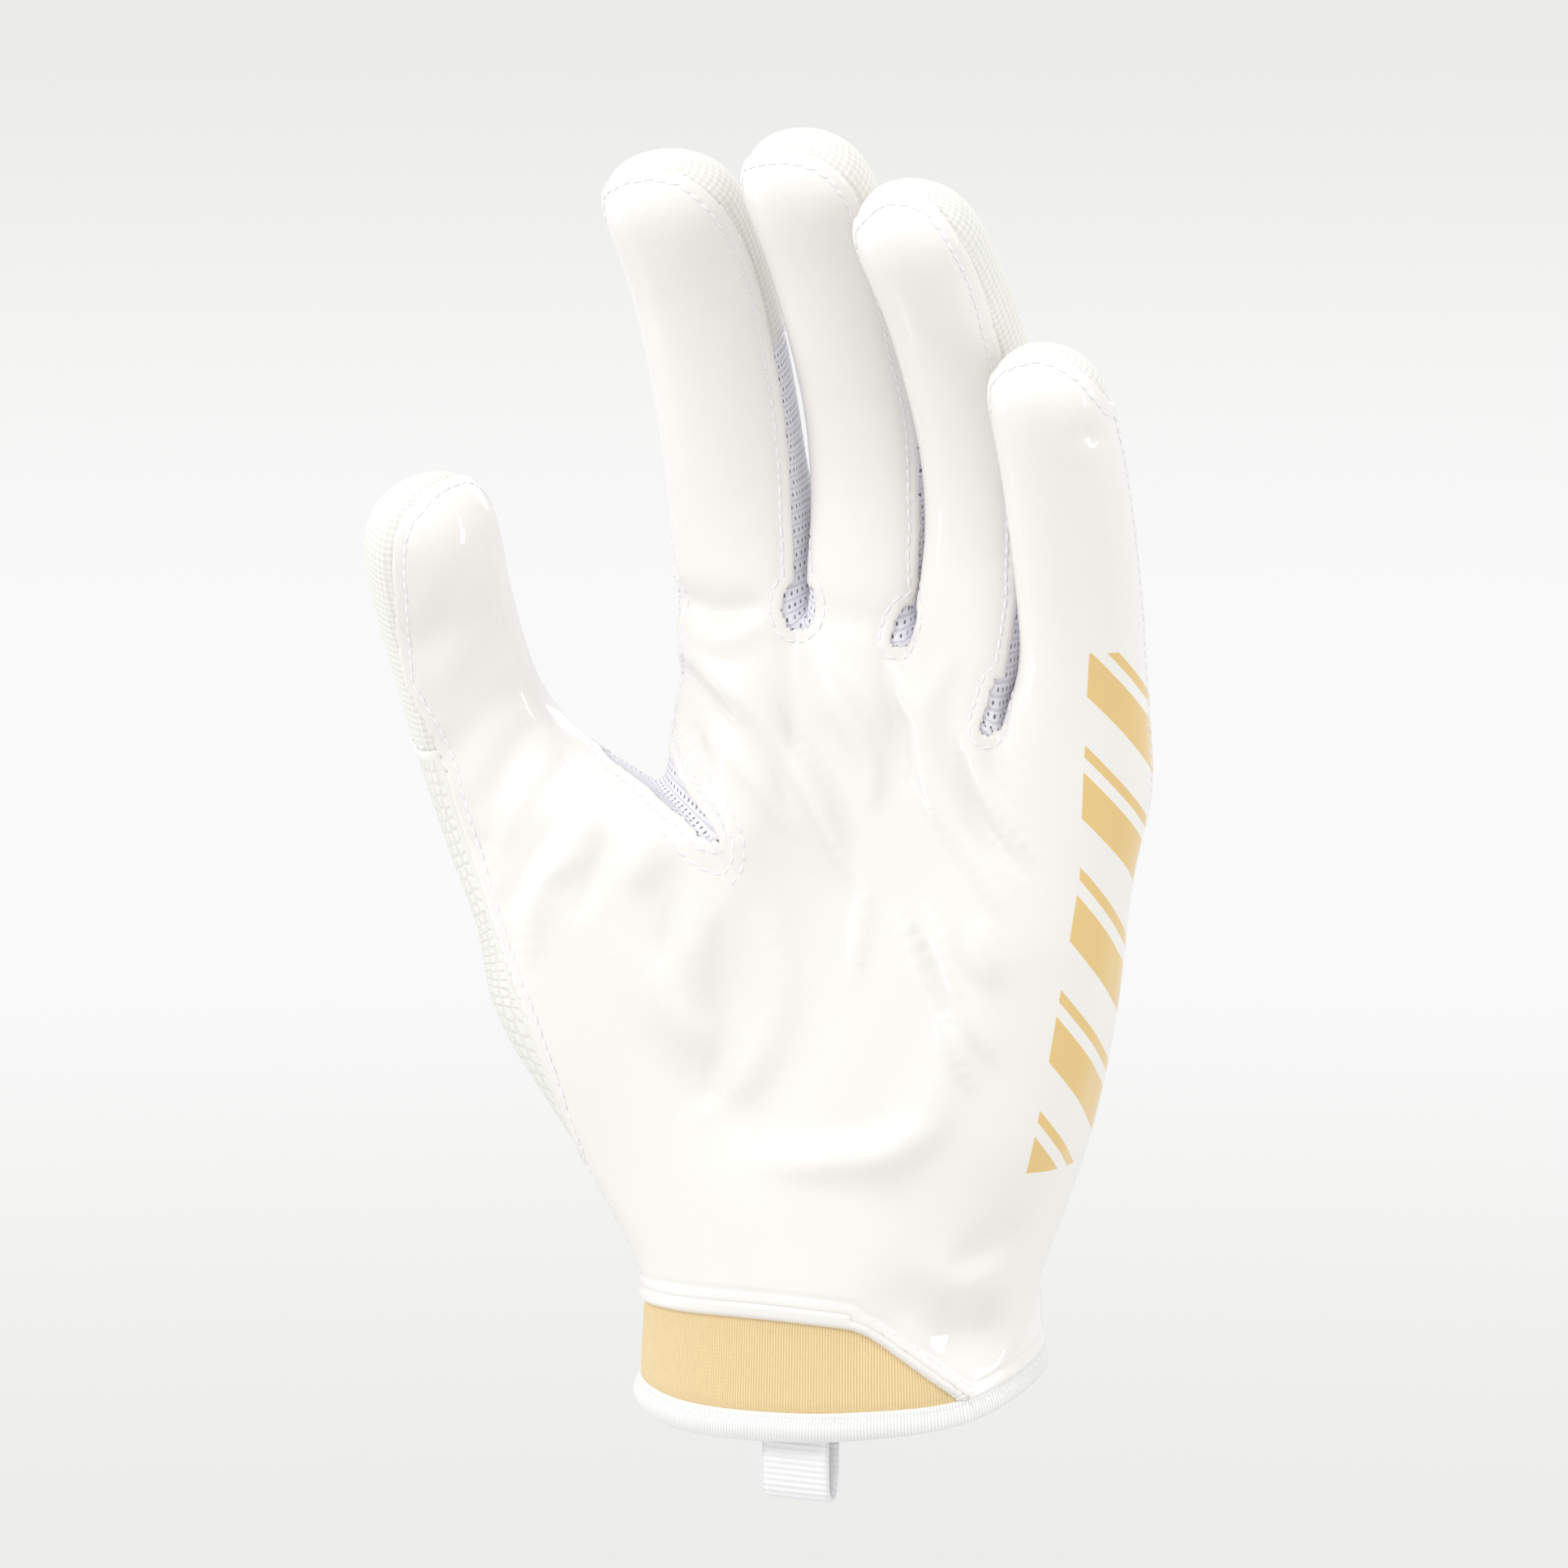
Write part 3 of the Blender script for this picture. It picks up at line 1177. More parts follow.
def add_piece(name, points, face_list, material, node, slot, cloth_places=None, values=None):
    """A mesh object in metres that stands for a part of the frame."""
    mesh = bpy.data.meshes.new(name)
    mesh.from_pydata((np.asarray(points) * METRE).tolist(), [], face_list)
    mesh.polygons.foreach_set("use_smooth", [True] * len(mesh.polygons))
    if cloth_places is not None:
        layer = mesh.uv_layers.new(name="cloth")
        layer.data.foreach_set("uv", np.asarray(cloth_places, dtype=np.float32).ravel() * CLOTH_SCALE)
    for key, numbers in (values or {}).items():
        attribute = mesh.attributes.new(key, "FLOAT", "POINT")
        attribute.data.foreach_set("value", np.asarray(numbers, dtype=np.float32))
    mesh.materials.append(material)
    piece = bpy.data.objects.new(name, mesh)
    bpy.context.scene.collection.objects.link(piece)
    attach(piece, "root")
    if node:
        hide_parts(node)


# the rolled rim: millimetres out and down from the panel's edge
PLAIN_LIP = ((0.1, 0.12), (0.14, 0.3))


def panel_piece(panel, wall, material, slot, lift, lip=PLAIN_LIP, values=None):
    """A panel as cloth: its face, a rolled rim and a plainer inside."""
    used = panel.used
    order = np.full(len(surface), -1)
    order[used] = np.arange(len(used))
    raised = surface[used] + normals[used] * lift(panel, used)[:, None]
    points = [raised]
    polygons = order[panel.faces].tolist()
    places = [panel.cloth.reshape(-1, 2)]
    start = len(used)
    for chain in panel.loops:
        top = raised[order[chain]]
        previous = order[chain]
        for out, down in (*lip, (0.0, wall)):
            points.append(top - panel.inward[chain] * out - normals[chain] * down)
            ids = np.arange(start, start + len(chain))
            start += len(chain)
            ring = [np.roll(previous, -1), previous, ids, np.roll(ids, -1)]
            polygons += np.stack(ring, axis=1).tolist()
            places.append(np.zeros((len(chain) * 4, 2)))
            previous = ids
    inner = coarse_faces[coarse_labels == PANEL_ID[panel.name]]
    inner_used = np.unique(inner)
    inner_order = np.full(len(coarse_surface), -1)
    inner_order[inner_used] = np.arange(len(inner_used)) + start
    points.append(coarse_surface[inner_used] - coarse_normals[inner_used] * wall)
    polygons += inner_order[inner[:, ::-1]].tolist()
    places.append(np.zeros((len(inner) * 4, 2)))
    piece_points = np.concatenate(points)
    extra = np.zeros(len(piece_points) - len(used))
    values = {key: np.concatenate([value[used], extra]) for key, value in (values or {}).items()}
    add_piece(panel.name + "_cloth", piece_points, polygons, material, panel.name, slot,
              np.concatenate(places), values)


def new_group(name, inputs, outputs):
    """A shader group: its tree, its graph, and its input and output nodes."""
    tree = bpy.data.node_groups.new(name, "ShaderNodeTree")
    for key, kind, value in inputs:
        socket = tree.interface.new_socket(key, in_out="INPUT", socket_type=kind)
        if value is not None:
            socket.default_value = value
    for key, kind in outputs:
        tree.interface.new_socket(key, in_out="OUTPUT", socket_type=kind)
    graph = Graph(tree)
    return tree, graph, graph.add("NodeGroupInput").outputs, graph.add("NodeGroupOutput").inputs


def shaded(name, base, rough, **inputs):
    """A material with one principled shader and its graph."""
    material, graph, surface_socket = new_material(name)
    shader = graph.add("ShaderNodeBsdfPrincipled", Base_Color=base, Roughness=rough, **inputs)
    graph.feed(surface_socket, shader.outputs[0])
    return material, graph, shader.inputs


def bumped(graph, sockets, height, distance, strength=1.0):
    bump = graph.add("ShaderNodeBump", Height=height, Distance=distance, Strength=strength)
    graph.feed(sockets["Normal"], bump.outputs["Normal"])


# Fine grain shared by the leather, the piping, the caps and the thread
grain_group, graph, given, result = new_group(
    "fine_grain", (("Place", "NodeSocketVector", None), ("Scale", "NodeSocketFloat", 900.0)),
    (("Height", "NodeSocketFloat"),))
noise = graph.add("ShaderNodeTexNoise", Vector=given["Place"], Scale=given["Scale"], Detail=3.0)
graph.feed(result["Height"], noise.outputs["Fac"])


def grain(graph, scale):
    return graph.group(grain_group, Place=graph.place(), Scale=scale)["Height"]


def between(graph, value, low, high):
    """1 where the value lies between two bounds, 0 elsewhere."""
    return graph.math("MULTIPLY", graph.math("GREATER_THAN", value, low),
                      graph.math("LESS_THAN", value, high))


# The printed bars lean round the little finger's side. Lengths in metres.
PRINT_EDGE = (
    (1350, 640), (1345, 760), (1338, 900), (1330, 1080), (1310, 1200), (1288, 1330), (1262, 1450),
    (1240, 1560),
)
PRINT_HEIGHTS = (0.044, 0.132)
PRINT_REACH = 0.03
PRINT_PITCH = 0.0205
PRINT_LEAN = 0.75
# a wide bar and a thin one, from and to as shares of the pitch
PRINT_BARS = ((0.08, 0.46), (0.58, 0.68))
PRINT_COLOUR = (0.82, 0.57, 0.22, 1)


def seen_at(places):
    """Points of the shell behind places on the picture plane, in its pixels."""
    eye = view_target + view_back * CAMERA_DISTANCE
    found = []
    for across, height in from_picture(places):
        aim = (view_target + view_right * (across - MIDDLE_ACROSS)
               + view_up * (height - MIDDLE_HEIGHT))
        place = skin.ray_cast(Vector(eye), Vector(unit(aim - eye)))[0]
        if place is not None:
            found.append(np.array(place))
    return np.array(found)


def grip_coat():
    """Clear coat over white leather, faintly pebbled, with pale gold printed bars."""
    material, graph, sockets = shaded(
        "grip_coat", (0.92, 0.91, 0.895, 1), 0.4, Coat_Weight=1.0, Coat_Roughness=0.07, Coat_IOR=1.6)
    place = graph.place()
    blotch = graph.add("ShaderNodeTexNoise", Vector=place, Scale=35.0, Detail=3.0).outputs["Fac"]
    tone = graph.math("MULTIPLY_ADD", blotch, 2.4, -0.7)
    leather = graph.mix(tone, (0.9, 0.868, 0.85, 1), (0.92, 0.895, 0.88, 1))
    round_side = graph.add("ShaderNodeAttribute", {"attribute_name": "side_place"}).outputs["Fac"]
    height = graph.add("ShaderNodeSeparateXYZ", Vector=place).outputs["Z"]
    lean = graph.math("MULTIPLY_ADD", round_side, PRINT_LEAN, height)
    step = graph.math("FRACT", graph.math("DIVIDE", lean, PRINT_PITCH))
    bars = graph.math("ADD", *(between(graph, step, *bar) for bar in PRINT_BARS))
    for inside in (between(graph, round_side, 0.0, PRINT_REACH), between(graph, height, *PRINT_HEIGHTS)):
        bars = graph.math("MULTIPLY", bars, inside)
    graph.feed(sockets["Base Color"], graph.mix(bars, leather, PRINT_COLOUR))
    wave = graph.add("ShaderNodeTexNoise", Vector=place, Scale=120.0, Detail=2.0).outputs["Fac"]
    bumped(graph, sockets, graph.math("MULTIPLY_ADD", wave, 4.0, grain(graph, 1100.0)), 0.0001, 0.25)
    return material


PALM_WALL = 1.2
PALM_LIP = ((0.16, 0.1), (0.24, 0.28), (0.22, 0.5))
PALM_RISE = 0.28
# the roll along the edge and the sunk seam: height, distance from the edge, half width
PALM_ROLL = (0.12, 0.5, 0.55)
PALM_SEAM = 1.85
PALM_SUNK = (-0.2, PALM_SEAM, 0.45)


def palm_lift(panel, used):
    d = panel.distance[used]
    return PALM_RISE + sum(height * np.exp(-((d - middle) / half) ** 2)
                           for height, middle, half in (PALM_ROLL, PALM_SUNK))


palm = Panel("palm_panel")
side_line = seen_at(PRINT_EDGE)
side_line = side_line[np.argsort(side_line[:, 2])]
side_place = surface[:, 0] + surface[:, 1]
side_place -= np.interp(surface[:, 2], side_line[:, 2], side_line[:, :2].sum(axis=1))
# no bars on the thumb's half
side_place[surface[:, 0] < 0] = -50
panel_piece(palm, PALM_WALL, grip_coat(), "grip_coat", palm_lift, PALM_LIP,
            {"side_place": side_place * METRE})

# Open mesh: back of the hand, fourchettes and web.
# Warp-knitted polyester in thin ribs with rows of small holes between them, cut in one
# piece for the back and in long strips between the fingers, sewn under the palm's edge.

MESH_PITCH = 2.1
MESH_HOLE_PITCH = 1.4
MESH_HOLE = 0.34
MESH_HOLE_SHAPE = 0.5
MESH_DIMPLE = 0.85
MESH_GROOVE = 0.16
MESH_CLEAR = 0.3
MESH_WALL = 1.0
# pieces under the palm's edge: how far they lie below it, and how far in they come up
UNDER_DROP = 0.1
UNDER_SINK = 0.3
UNDER_RAMP = 1.6


def cloth_place(graph):
    """Places on the flat cloth, in millimetres."""
    layer = graph.add("ShaderNodeUVMap", {"uv_map": "cloth"}).outputs["UV"]
    return graph.add("ShaderNodeVectorMath", {"operation": "SCALE"}, Vector=layer,
                     Scale=1 / CLOTH_SCALE).outputs["Vector"]


def cloth_axes(graph):
    place = graph.add("ShaderNodeSeparateXYZ", Vector=cloth_place(graph)).outputs
    return place["X"], place["Y"]


def ramped(graph, value, low, high):
    """From 0 at one bound to 1 at the other, smoothly."""
    return graph.add("ShaderNodeMapRange", {"interpolation_type": "SMOOTHSTEP"}, Value=value,
                     From_Min=low, From_Max=high).outputs["Result"]


def open_mesh():
    material, graph, sockets = shaded(
        "open_mesh", (0.66, 0.65, 0.73, 1), 0.78, Sheen_Weight=0.2, Sheen_Roughness=0.5)
    across, along = cloth_axes(graph)

    def from_middle(cells, pitch):
        """Millimetres from the middle of the cell."""
        return graph.math("MULTIPLY", graph.math("SUBTRACT", graph.math("FRACT", cells), 0.5), pitch)

    row = graph.math("DIVIDE", along, MESH_PITCH)
    shift = graph.math("MULTIPLY", graph.math("FLOOR", row), 0.5)
    column = graph.math("ADD", graph.math("DIVIDE", across, MESH_HOLE_PITCH), shift)
    from_row, from_column = from_middle(row, MESH_PITCH), from_middle(column, MESH_HOLE_PITCH)

    def within(value, radius):
        return ramped(graph, value, radius * 1.25, radius * 0.75)

    def far(narrow):
        slit = graph.math("DIVIDE", from_column, narrow)
        return graph.math("SQRT", graph.math("ADD", graph.math("MULTIPLY", from_row, from_row),
                                             graph.math("MULTIPLY", slit, slit)))

    hole = within(far(MESH_HOLE_SHAPE), MESH_HOLE)
    dimple = within(far(1.0), MESH_DIMPLE * 0.5)
    rim = graph.math("SUBTRACT", MESH_PITCH / 2, graph.math("ABSOLUTE", from_row))
    groove = within(rim, MESH_GROOVE)
    cloth = graph.mix(groove, (0.88, 0.875, 0.95, 1), (0.77, 0.76, 0.84, 1))
    graph.feed(sockets["Base Color"], graph.mix(hole, cloth, (0.26, 0.25, 0.31, 1)))
    graph.feed(sockets["Alpha"], graph.math("SUBTRACT", 1.0, graph.math("MULTIPLY", hole, MESH_CLEAR)))
    sunk = graph.math("ADD", hole, graph.math("MULTIPLY_ADD", dimple, 0.5, groove))
    bumped(graph, sockets, graph.math("SUBTRACT", 1.0, sunk), 0.00012)
    return material


def under_lift(panel, used):
    return -UNDER_DROP - UNDER_SINK * (1 - smooth(panel.distance[used] / UNDER_RAMP))


mesh_cloth = open_mesh()
for name in ("back_panel", "web_gusset", "fourchette_index_middle", "fourchette_middle_ring",
             "fourchette_ring_little"):
    panel_piece(Panel(name), MESH_WALL, mesh_cloth, "perforated_mesh", under_lift)

# Fingertip caps.
# Close white cloth in a small raised check, moulded over the nails and wrapped to the
# palm's edge at each tip, sewn to the mesh along a straight seam at the back.

CHECK = 1.2
CAP_WALL = 1.1


def cap_cloth():
    material, graph, sockets = shaded(
        "cap_cloth", (0.9, 0.89, 0.86, 1), 0.66, Sheen_Weight=0.12, Sheen_Roughness=0.5)
    axes = cloth_axes(graph)
    check = graph.math("MULTIPLY", *(
        graph.math("SINE", graph.math("MULTIPLY", graph.math(way, *axes), math.pi / CHECK))
        for way in ("ADD", "SUBTRACT")))
    tone = graph.math("MULTIPLY_ADD", check, 0.5, 0.5)
    graph.feed(sockets["Base Color"], graph.mix(tone, (0.76, 0.75, 0.72, 1), (0.92, 0.91, 0.885, 1)))
    bumped(graph, sockets, graph.math("MULTIPLY_ADD", grain(graph, 1800.0), 0.4, check), 0.00005)
    return material


cap_material = cap_cloth()
caps = [Panel(name + "_cap") for name in DIGITS]
for panel in caps:
    panel_piece(panel, CAP_WALL, cap_material, "cap_cloth", under_lift)

# Side panel of the thumb.
# White synthetic leather embossed with small scales, running from the thumb's cap down
# the hand's side to the cuff, with a smooth rolled strip where the palm is sewn to it.

SCALE_WIDTH = 2.0
SCALE_LENGTH = 2.4
SCALE_EDGE = 0.28
STRIP_WIDTH = 1.5
STRIP_RISE = 0.12
SIDE_DROP = 0.15
SIDE_WALL = 1.2


def embossed_leather():
    material, graph, sockets = shaded(
        "embossed_side", (0.88, 0.87, 0.85, 1), 0.42, Coat_Weight=0.25, Coat_Roughness=0.3)
    stretch = graph.add("ShaderNodeVectorMath", {"operation": "MULTIPLY"}, Vector=cloth_place(graph))
    stretch.inputs[1].default_value = (1 / SCALE_WIDTH, 1 / SCALE_LENGTH, 0)
    cells = graph.add("ShaderNodeTexVoronoi", {"feature": "DISTANCE_TO_EDGE"},
                      Vector=stretch.outputs["Vector"], Scale=1.0, Randomness=0.35)
    scale = ramped(graph, cells.outputs["Distance"], 0.0, SCALE_EDGE)
    edge = graph.add("ShaderNodeAttribute", {"attribute_name": "rim_distance"}).outputs["Fac"]
    away = graph.math("GREATER_THAN", edge, STRIP_WIDTH * METRE)
    shade = graph.math("MULTIPLY", graph.math("SUBTRACT", 1.0, scale), away)
    graph.feed(sockets["Base Color"], graph.mix(shade, (0.87, 0.86, 0.84, 1), (0.8, 0.785, 0.76, 1)))
    bumped(graph, sockets, graph.math("MULTIPLY", scale, away), 0.00012)
    return material


def side_lift(panel, used):
    share = np.clip(panel.distance[used] / STRIP_WIDTH, 0, 1)
    return STRIP_RISE * np.sin(math.pi * share) - SIDE_DROP


thumb_side = Panel("thumb_side_panel")
panel_piece(thumb_side, SIDE_WALL, embossed_leather(), "embossed_side", side_lift,
            values={"rim_distance": thumb_side.distance * METRE})

# Cuff band.
# Gold elastic rib knit, double, let in below the palm's slanting edge and round the
# wrist, and sewn to the back and to the hem.

# Fine ribs shared by the knitted band, the hem and the pull tab
rib_group, graph, given, result = new_group(
    "fine_ribs",
    [(name, "NodeSocketFloat", value) for name, value in (("Across", 0.0), ("Along", 0.0), ("Pitch", 0.5))],
    (("Height", "NodeSocketFloat"), ("Shade", "NodeSocketFloat")))
turns, loops = (graph.math("MULTIPLY", graph.math("DIVIDE", given[way], given["Pitch"]), turn)
                for way, turn in (("Across", math.pi), ("Along", 2 * math.pi)))
rib = graph.math("ABSOLUTE", graph.math("SINE", turns))
graph.feed(result["Height"], graph.math("MULTIPLY_ADD", graph.math("SINE", loops), 0.12, rib))
graph.feed(result["Shade"], rib)


def ribbed(graph, pitch):
    across, along = cloth_axes(graph)
    return graph.group(rib_group, Across=across, Along=along, Pitch=pitch)


KNIT_PITCH = 0.5
BAND_WALL = 1.4


def gold_knit():
    material, graph, sockets = shaded(
        "gold_knit", (0.84, 0.64, 0.33, 1), 0.78, Sheen_Weight=0.3, Sheen_Roughness=0.4)
    ribs = ribbed(graph, KNIT_PITCH)
    blotch = graph.add("ShaderNodeTexNoise", Vector=cloth_place(graph), Scale=0.9, Detail=2.0).outputs["Fac"]
    tone = graph.math("MULTIPLY_ADD", ribs["Shade"], 0.75, graph.math("MULTIPLY", blotch, 0.35))
    graph.feed(sockets["Base Color"], graph.mix(tone, (0.83, 0.6, 0.28, 1), (0.95, 0.74, 0.42, 1)))
    bumped(graph, sockets, ribs["Height"], 0.00012)
    return material


panel_piece(Panel("cuff_band"), BAND_WALL, gold_knit(), "gold_knit", under_lift)

# Piping.
# A thin roll of the palm's coated leather, folded over and sewn along its lower edge
# where it overlaps the gold band.

PIPING_WALL = 1.6
PIPING_REACH = 0.85
PIPING_FOOT = 0.05
PIPING_ROLL = 0.75


def piping_leather():
    material, graph, sockets = shaded(
        "piping", (0.88, 0.86, 0.84, 1), 0.3, Coat_Weight=0.8, Coat_Roughness=0.1)
    bumped(graph, sockets, grain(graph, 700.0), 0.00008)
    return material


def piping_lift(panel, used):
    share = np.minimum(panel.distance[used] / PIPING_REACH, 1)
    return PIPING_FOOT + PIPING_ROLL * np.sqrt(1 - (1 - share) ** 2)


edge_binding = Panel("palm_edge_binding")
panel_piece(edge_binding, PIPING_WALL, piping_leather(), "piping", piping_lift)

# Hem binding.
# White elastic tape folded round the raw edge of the wrist: a flat selvedge with a row
# of stitches, then a round ribbed roll below it.

HEM_SELVEDGE = 1.15
HEM_SELVEDGE_RISE = 0.25
HEM_SELVEDGE_EDGE = 0.3
HEM_FOOT = 0.05
HEM_ROLL = 0.75
HEM_RIB = 0.55
HEM_WALL = 2.0


def hem_tape():
    material, graph, sockets = shaded(
        "hem_tape", (0.92, 0.92, 0.92, 1), 0.7, Sheen_Weight=0.3, Sheen_Roughness=0.45)
    ribs = ribbed(graph, HEM_RIB)
    graph.feed(sockets["Base Color"], graph.mix(ribs["Shade"], (0.84, 0.84, 0.84, 1), (0.94, 0.94, 0.94, 1)))
    bumped(graph, sockets, ribs["Height"], 0.0001)
    return material


hem = Panel("hem_binding")
top_loop = max(hem.loops, key=lambda chain: surface[chain][:, 2].mean())
top_tree = tree_of(surface[top_loop])


def hem_lift(panel, used):
    top = np.array([top_tree.find(point)[2] for point in surface[used]])
    low = np.clip((top - HEM_SELVEDGE) / (HEM_HEIGHT - HEM_SELVEDGE), 0, 1)
    roll = HEM_ROLL * np.sqrt(np.clip(1 - (2 * low - 1) ** 2, 0, 1))
    flat = HEM_SELVEDGE_RISE * np.clip(top / HEM_SELVEDGE_EDGE, 0, 1)
    return HEM_FOOT + np.where(top < HEM_SELVEDGE, flat, np.maximum(roll, HEM_FOOT))


panel_piece(hem, HEM_WALL, hem_tape(), "hem_tape", hem_lift)

# Pull tab.
# A loop of white grosgrain tape, folded at the bottom, its two ends sewn inside the
# palm side of the hem.

TAB_WIDTH = 11.8
TAB_THICKNESS = 0.9
TAB_DROP = 10.8
TAB_OPENING = 4.6
TAB_OFFSET = 1.4
TAB_FACE = -21.8
TAB_RIB = 1.0
TAB_RIB_DEPTH = 0.24
TAB_STEPS = 8
TAB_COLUMNS = 13
TAB_EDGE = 0.9
TAB_WEAVE = 0.4
# Out from the hem's inner face as a share of the opening, height as a share of the drop
TAB_LINE = (
    (0.1, 0.46), (0.1, -0.5), (0.19, -0.83), (0.53, -0.96), (0.88, -0.83), (1.0, -0.33),
    (0.9, 0.14), (0.36, 0.37), (0.36, 0.46),
)


def read_line(line, marks, places):
    """Points of a line at places between its marks."""
    return np.stack([np.interp(places, marks, column) for column in line.T], axis=1)


def tab_points():
    """Steps along the tape's middle line, and the line and its outward way at each."""
    line = rounded(np.array(TAB_LINE) * (TAB_OPENING, TAB_DROP)
                   + (TAB_FACE, HEM_RISE * curve(HEM_LINE, 1, 0)), 32)[:-1]
    length = lengths_along(line)
    steps = np.linspace(0, length[-1], int(length[-1] / TAB_RIB * TAB_STEPS))
    line = read_line(line, length, steps)
    way = unit(np.gradient(line, axis=0))
    return steps, line, np.stack([-way[:, 1], way[:, 0]], axis=1)


def tab_mesh():
    steps, line, out = tab_points()
    half = TAB_THICKNESS / 2 - TAB_RIB_DEPTH * (0.5 - 0.5 * np.cos(2 * math.pi * steps / TAB_RIB))
    shares = np.linspace(-1, 1, TAB_COLUMNS)
    points = []
    for sign in (1, -1):
        for share in shares[::sign]:
            edge = 1 - max(abs(share) - TAB_EDGE, 0) * 3
            y, z = (line + out * (sign * half * edge)[:, None]).T
            x = np.full(len(y), TAB_OFFSET + share * TAB_WIDTH / 2)
            points.append(np.stack([x, y, z], axis=1))
    rings, count = len(points), len(steps)
    polygons = []
    for r in range(rings):
        low, high = r * count, ((r + 1) % rings) * count
        polygons += [(low + k, low + k + 1, high + k + 1, high + k) for k in range(count - 1)]
    for k in (0, count - 1):
        ring = [r * count + k for r in range(rings)]
        polygons.append(tuple(ring if k else ring[::-1]))
    return np.concatenate(points), polygons


def grosgrain():
    material, graph, sockets = shaded(
        "tab_tape", (0.95, 0.95, 0.98, 1), 0.72, Sheen_Weight=0.25, Sheen_Roughness=0.45)
    place = graph.add("ShaderNodeSeparateXYZ", Vector=graph.place()).outputs
    ribs = graph.group(rib_group, Across=place["X"], Along=place["Z"], Pitch=TAB_WEAVE * METRE)
    bumped(graph, sockets, ribs["Height"], 0.00005)
    return material


add_piece("pull_tab_tape", *tab_mesh(), grosgrain(), "pull_tab", "tab_tape")

# Stitching.
# Lockstitch in white polyester thread a little way inside each sewn edge, drawn down
# into the coat. Each row is one joined mesh of short bent threads.

THREAD_WIDE = 0.26
THREAD_HIGH = 0.17
STITCH_PITCH = 2.2
STITCH_LENGTH = 1.95
STITCH_REACH = 0.4
STITCH_SIDES = 6
STITCH_SLANT = 0.09
# share of the length, share of the thickness, millimetres sunk
STITCH_PROFILE = (
    (-0.5, 0.4, 0.24), (-0.38, 0.85, 0.05), (0.0, 1.0, 0.0), (0.38, 0.85, 0.05), (0.5, 0.4, 0.24),
)


def on_skin(points):
    """The nearest places on the shell, and the normals there."""
    found = [skin.find_nearest(Vector(p)) for p in points]
    return np.array([f[0] for f in found]), np.array([f[1] for f in found])


def even(line, closed, rounds=3):
    """Rounds off a line of points a little."""
    for _ in range(rounds):
        middle = (np.roll(line, 1, axis=0) + line * 2 + np.roll(line, -1, axis=0)) / 4
        if not closed:
            middle[0], middle[-1] = line[0], line[-1]
        line = middle
    return line


def stitches(line, closed, lift, pitch=STITCH_PITCH, keep=None):
    """Points and faces of a row of stitches along a line of points on the shell."""
    run = np.concatenate([line, line[:1]]) if closed else line
    length = lengths_along(run)
    count = max(int(length[-1] / pitch), 1)
    marks = (np.arange(count) + 0.5) * length[-1] / count
    before, centre, after = (
        read_line(run, length, marks + reach) for reach in (-STITCH_REACH, 0, STITCH_REACH))
    centre, up = on_skin(centre)
    way = after - before
    if keep is not None:
        chosen = keep(centre)
        centre, up, way = centre[chosen], up[chosen], way[chosen]
    way = unit(way - up * (way * up).sum(axis=1, keepdims=True))
    way = unit(way + np.cross(up, way) * STITCH_SLANT)
    side = np.cross(up, way)
    rings = []
    for share, swell, dip in STITCH_PROFILE:
        middle = centre + way * (share * STITCH_LENGTH) + up * (lift - dip)
        for turn in np.arange(STITCH_SIDES) * 2 * math.pi / STITCH_SIDES:
            reach = side * (math.cos(turn) * THREAD_WIDE) + up * (math.sin(turn) * THREAD_HIGH)
            rings.append(middle + reach * swell)
    points = np.stack(rings, axis=1)
    per = points.shape[1]
    one = []
    for r in range(0, per - STITCH_SIDES, STITCH_SIDES):
        for k in range(STITCH_SIDES):
            a, b = r + k, r + (k + 1) % STITCH_SIDES
            one.append((a, b, b + STITCH_SIDES, a + STITCH_SIDES))
    ends = [tuple(range(STITCH_SIDES))[::-1], tuple(range(per - STITCH_SIDES, per))]
    polygons = [tuple(v + k * per for v in face) for part in (one, ends)
                for k in range(len(points)) for face in part]
    return points.reshape(-1, 3), polygons


def thread():
    material, graph, sockets = shaded(
        "thread", (0.955, 0.95, 0.995, 1), 0.6, Sheen_Weight=0.45, Sheen_Roughness=0.4)
    bumped(graph, sockets, grain(graph, 4000.0), 0.00005)
    return material


thread_material = thread()


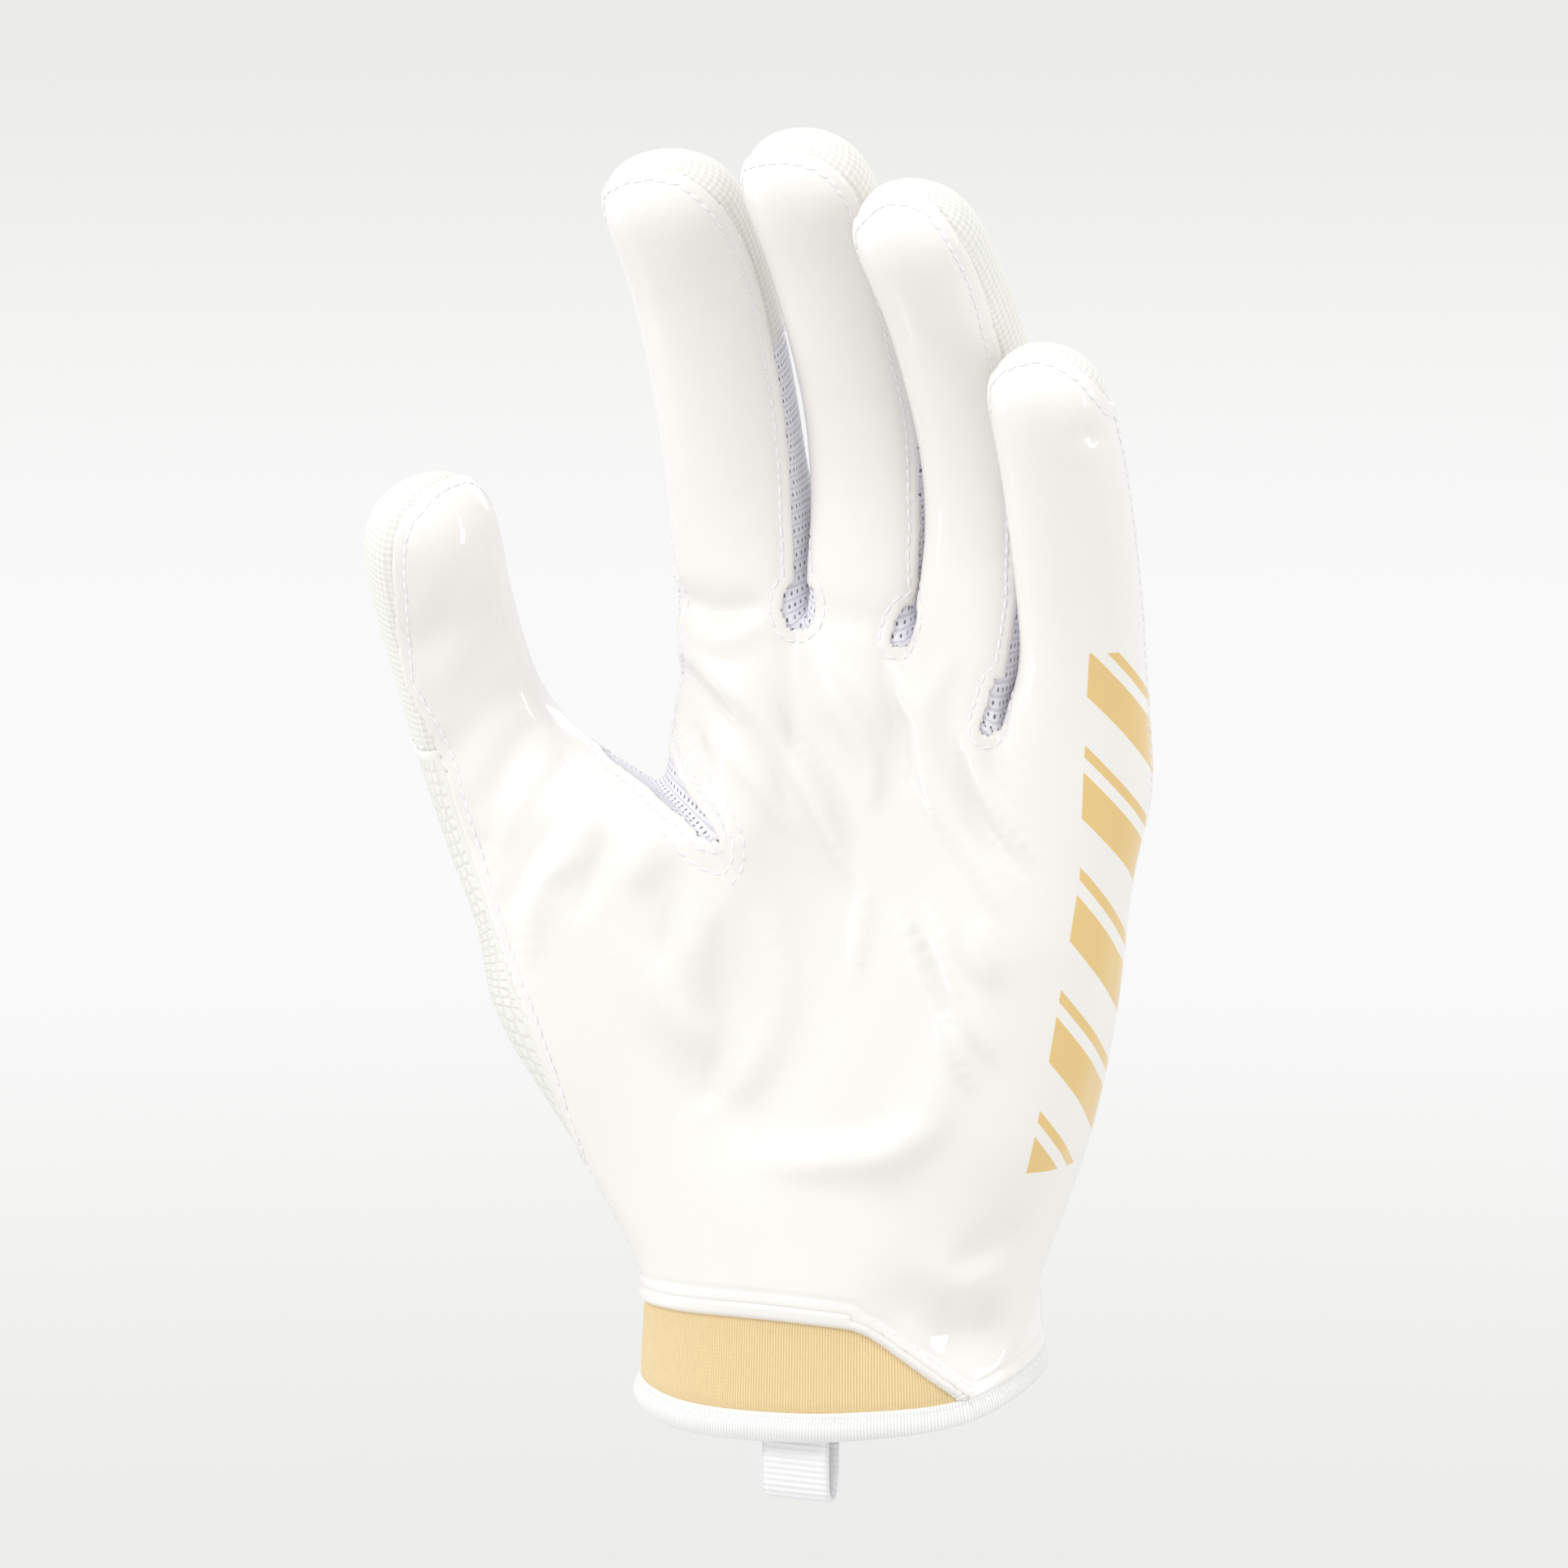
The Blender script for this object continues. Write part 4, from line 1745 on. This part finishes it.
def sewn(name, slot, rows):
    """One piece of all the rows of stitches that hold a panel."""
    starts = np.cumsum([0] + [len(points) for points, _ in rows])
    polygons = [tuple(v + start for v in face)
                for start, (_, row_faces) in zip(starts, rows) for face in row_faces]
    add_piece(name, np.concatenate([points for points, _ in rows]), polygons, thread_material, None, slot)


def inset_row(panel, chain, inset):
    line = surface[chain] + panel.inward[chain] * np.reshape(inset, (-1, 1))
    return on_skin(even(line, True))[0]


BINDING_NEAR = 0.4
BINDING_SEAM = 1.2
PALM_THREAD_LIFT = 0.2
HEM_CLEAR = 2.2
palm_rows = []
for chain in palm.loops:
    inset = np.where(edge_binding.gap_to(surface[chain]) < BINDING_NEAR, BINDING_SEAM, PALM_SEAM)
    palm_rows.append(stitches(inset_row(palm, chain, inset), True, PALM_THREAD_LIFT,
                              keep=lambda centre: hem.gap_to(centre) > HEM_CLEAR))

# rows round the slit of the web, on the picture plane in its pixels
WEB_ROWS = (
    ((840, 925), (852, 948), (872, 978), (892, 1008), (904, 1034), (905, 1058), (893, 1078)),
    ((893, 1078), (868, 1073), (842, 1053), (818, 1030), (796, 1008), (772, 988), (752, 972)),
    ((852, 905), (866, 940), (886, 970), (904, 1000), (917, 1034), (917, 1068), (900, 1092)),
    ((835, 880), (843, 905), (851, 925)),
)
WEB_ROUNDS = 8
WEB_THREAD_LIFT = 0.3
for places in WEB_ROWS:
    line = seen_at(places)
    steps = np.linspace(0, len(line) - 1, len(line) * 6)
    line = read_line(line, np.arange(len(line)), steps)
    palm_rows.append(stitches(even(line, False, WEB_ROUNDS), False, WEB_THREAD_LIFT))
sewn("palm_stitches", "grip_coat", palm_rows)

HEM_THREAD_LIFT = 0.2
HEM_STITCH_PITCH = 1.9
hem_line = inset_row(hem, top_loop, HEM_SELVEDGE)
sewn("hem_stitches", "hem_tape", [stitches(hem_line, True, HEM_THREAD_LIFT, HEM_STITCH_PITCH)])

CAP_SEAM = 0.9
CAP_THREAD_LIFT = 0.02
PALM_CLEAR = 1.6
sewn("cap_stitches", "cap_cloth", [
    stitches(inset_row(panel, chain, CAP_SEAM), True, CAP_THREAD_LIFT,
             keep=lambda centre: palm.gap_to(centre) > PALM_CLEAR)
    for panel in caps for chain in panel.loops])

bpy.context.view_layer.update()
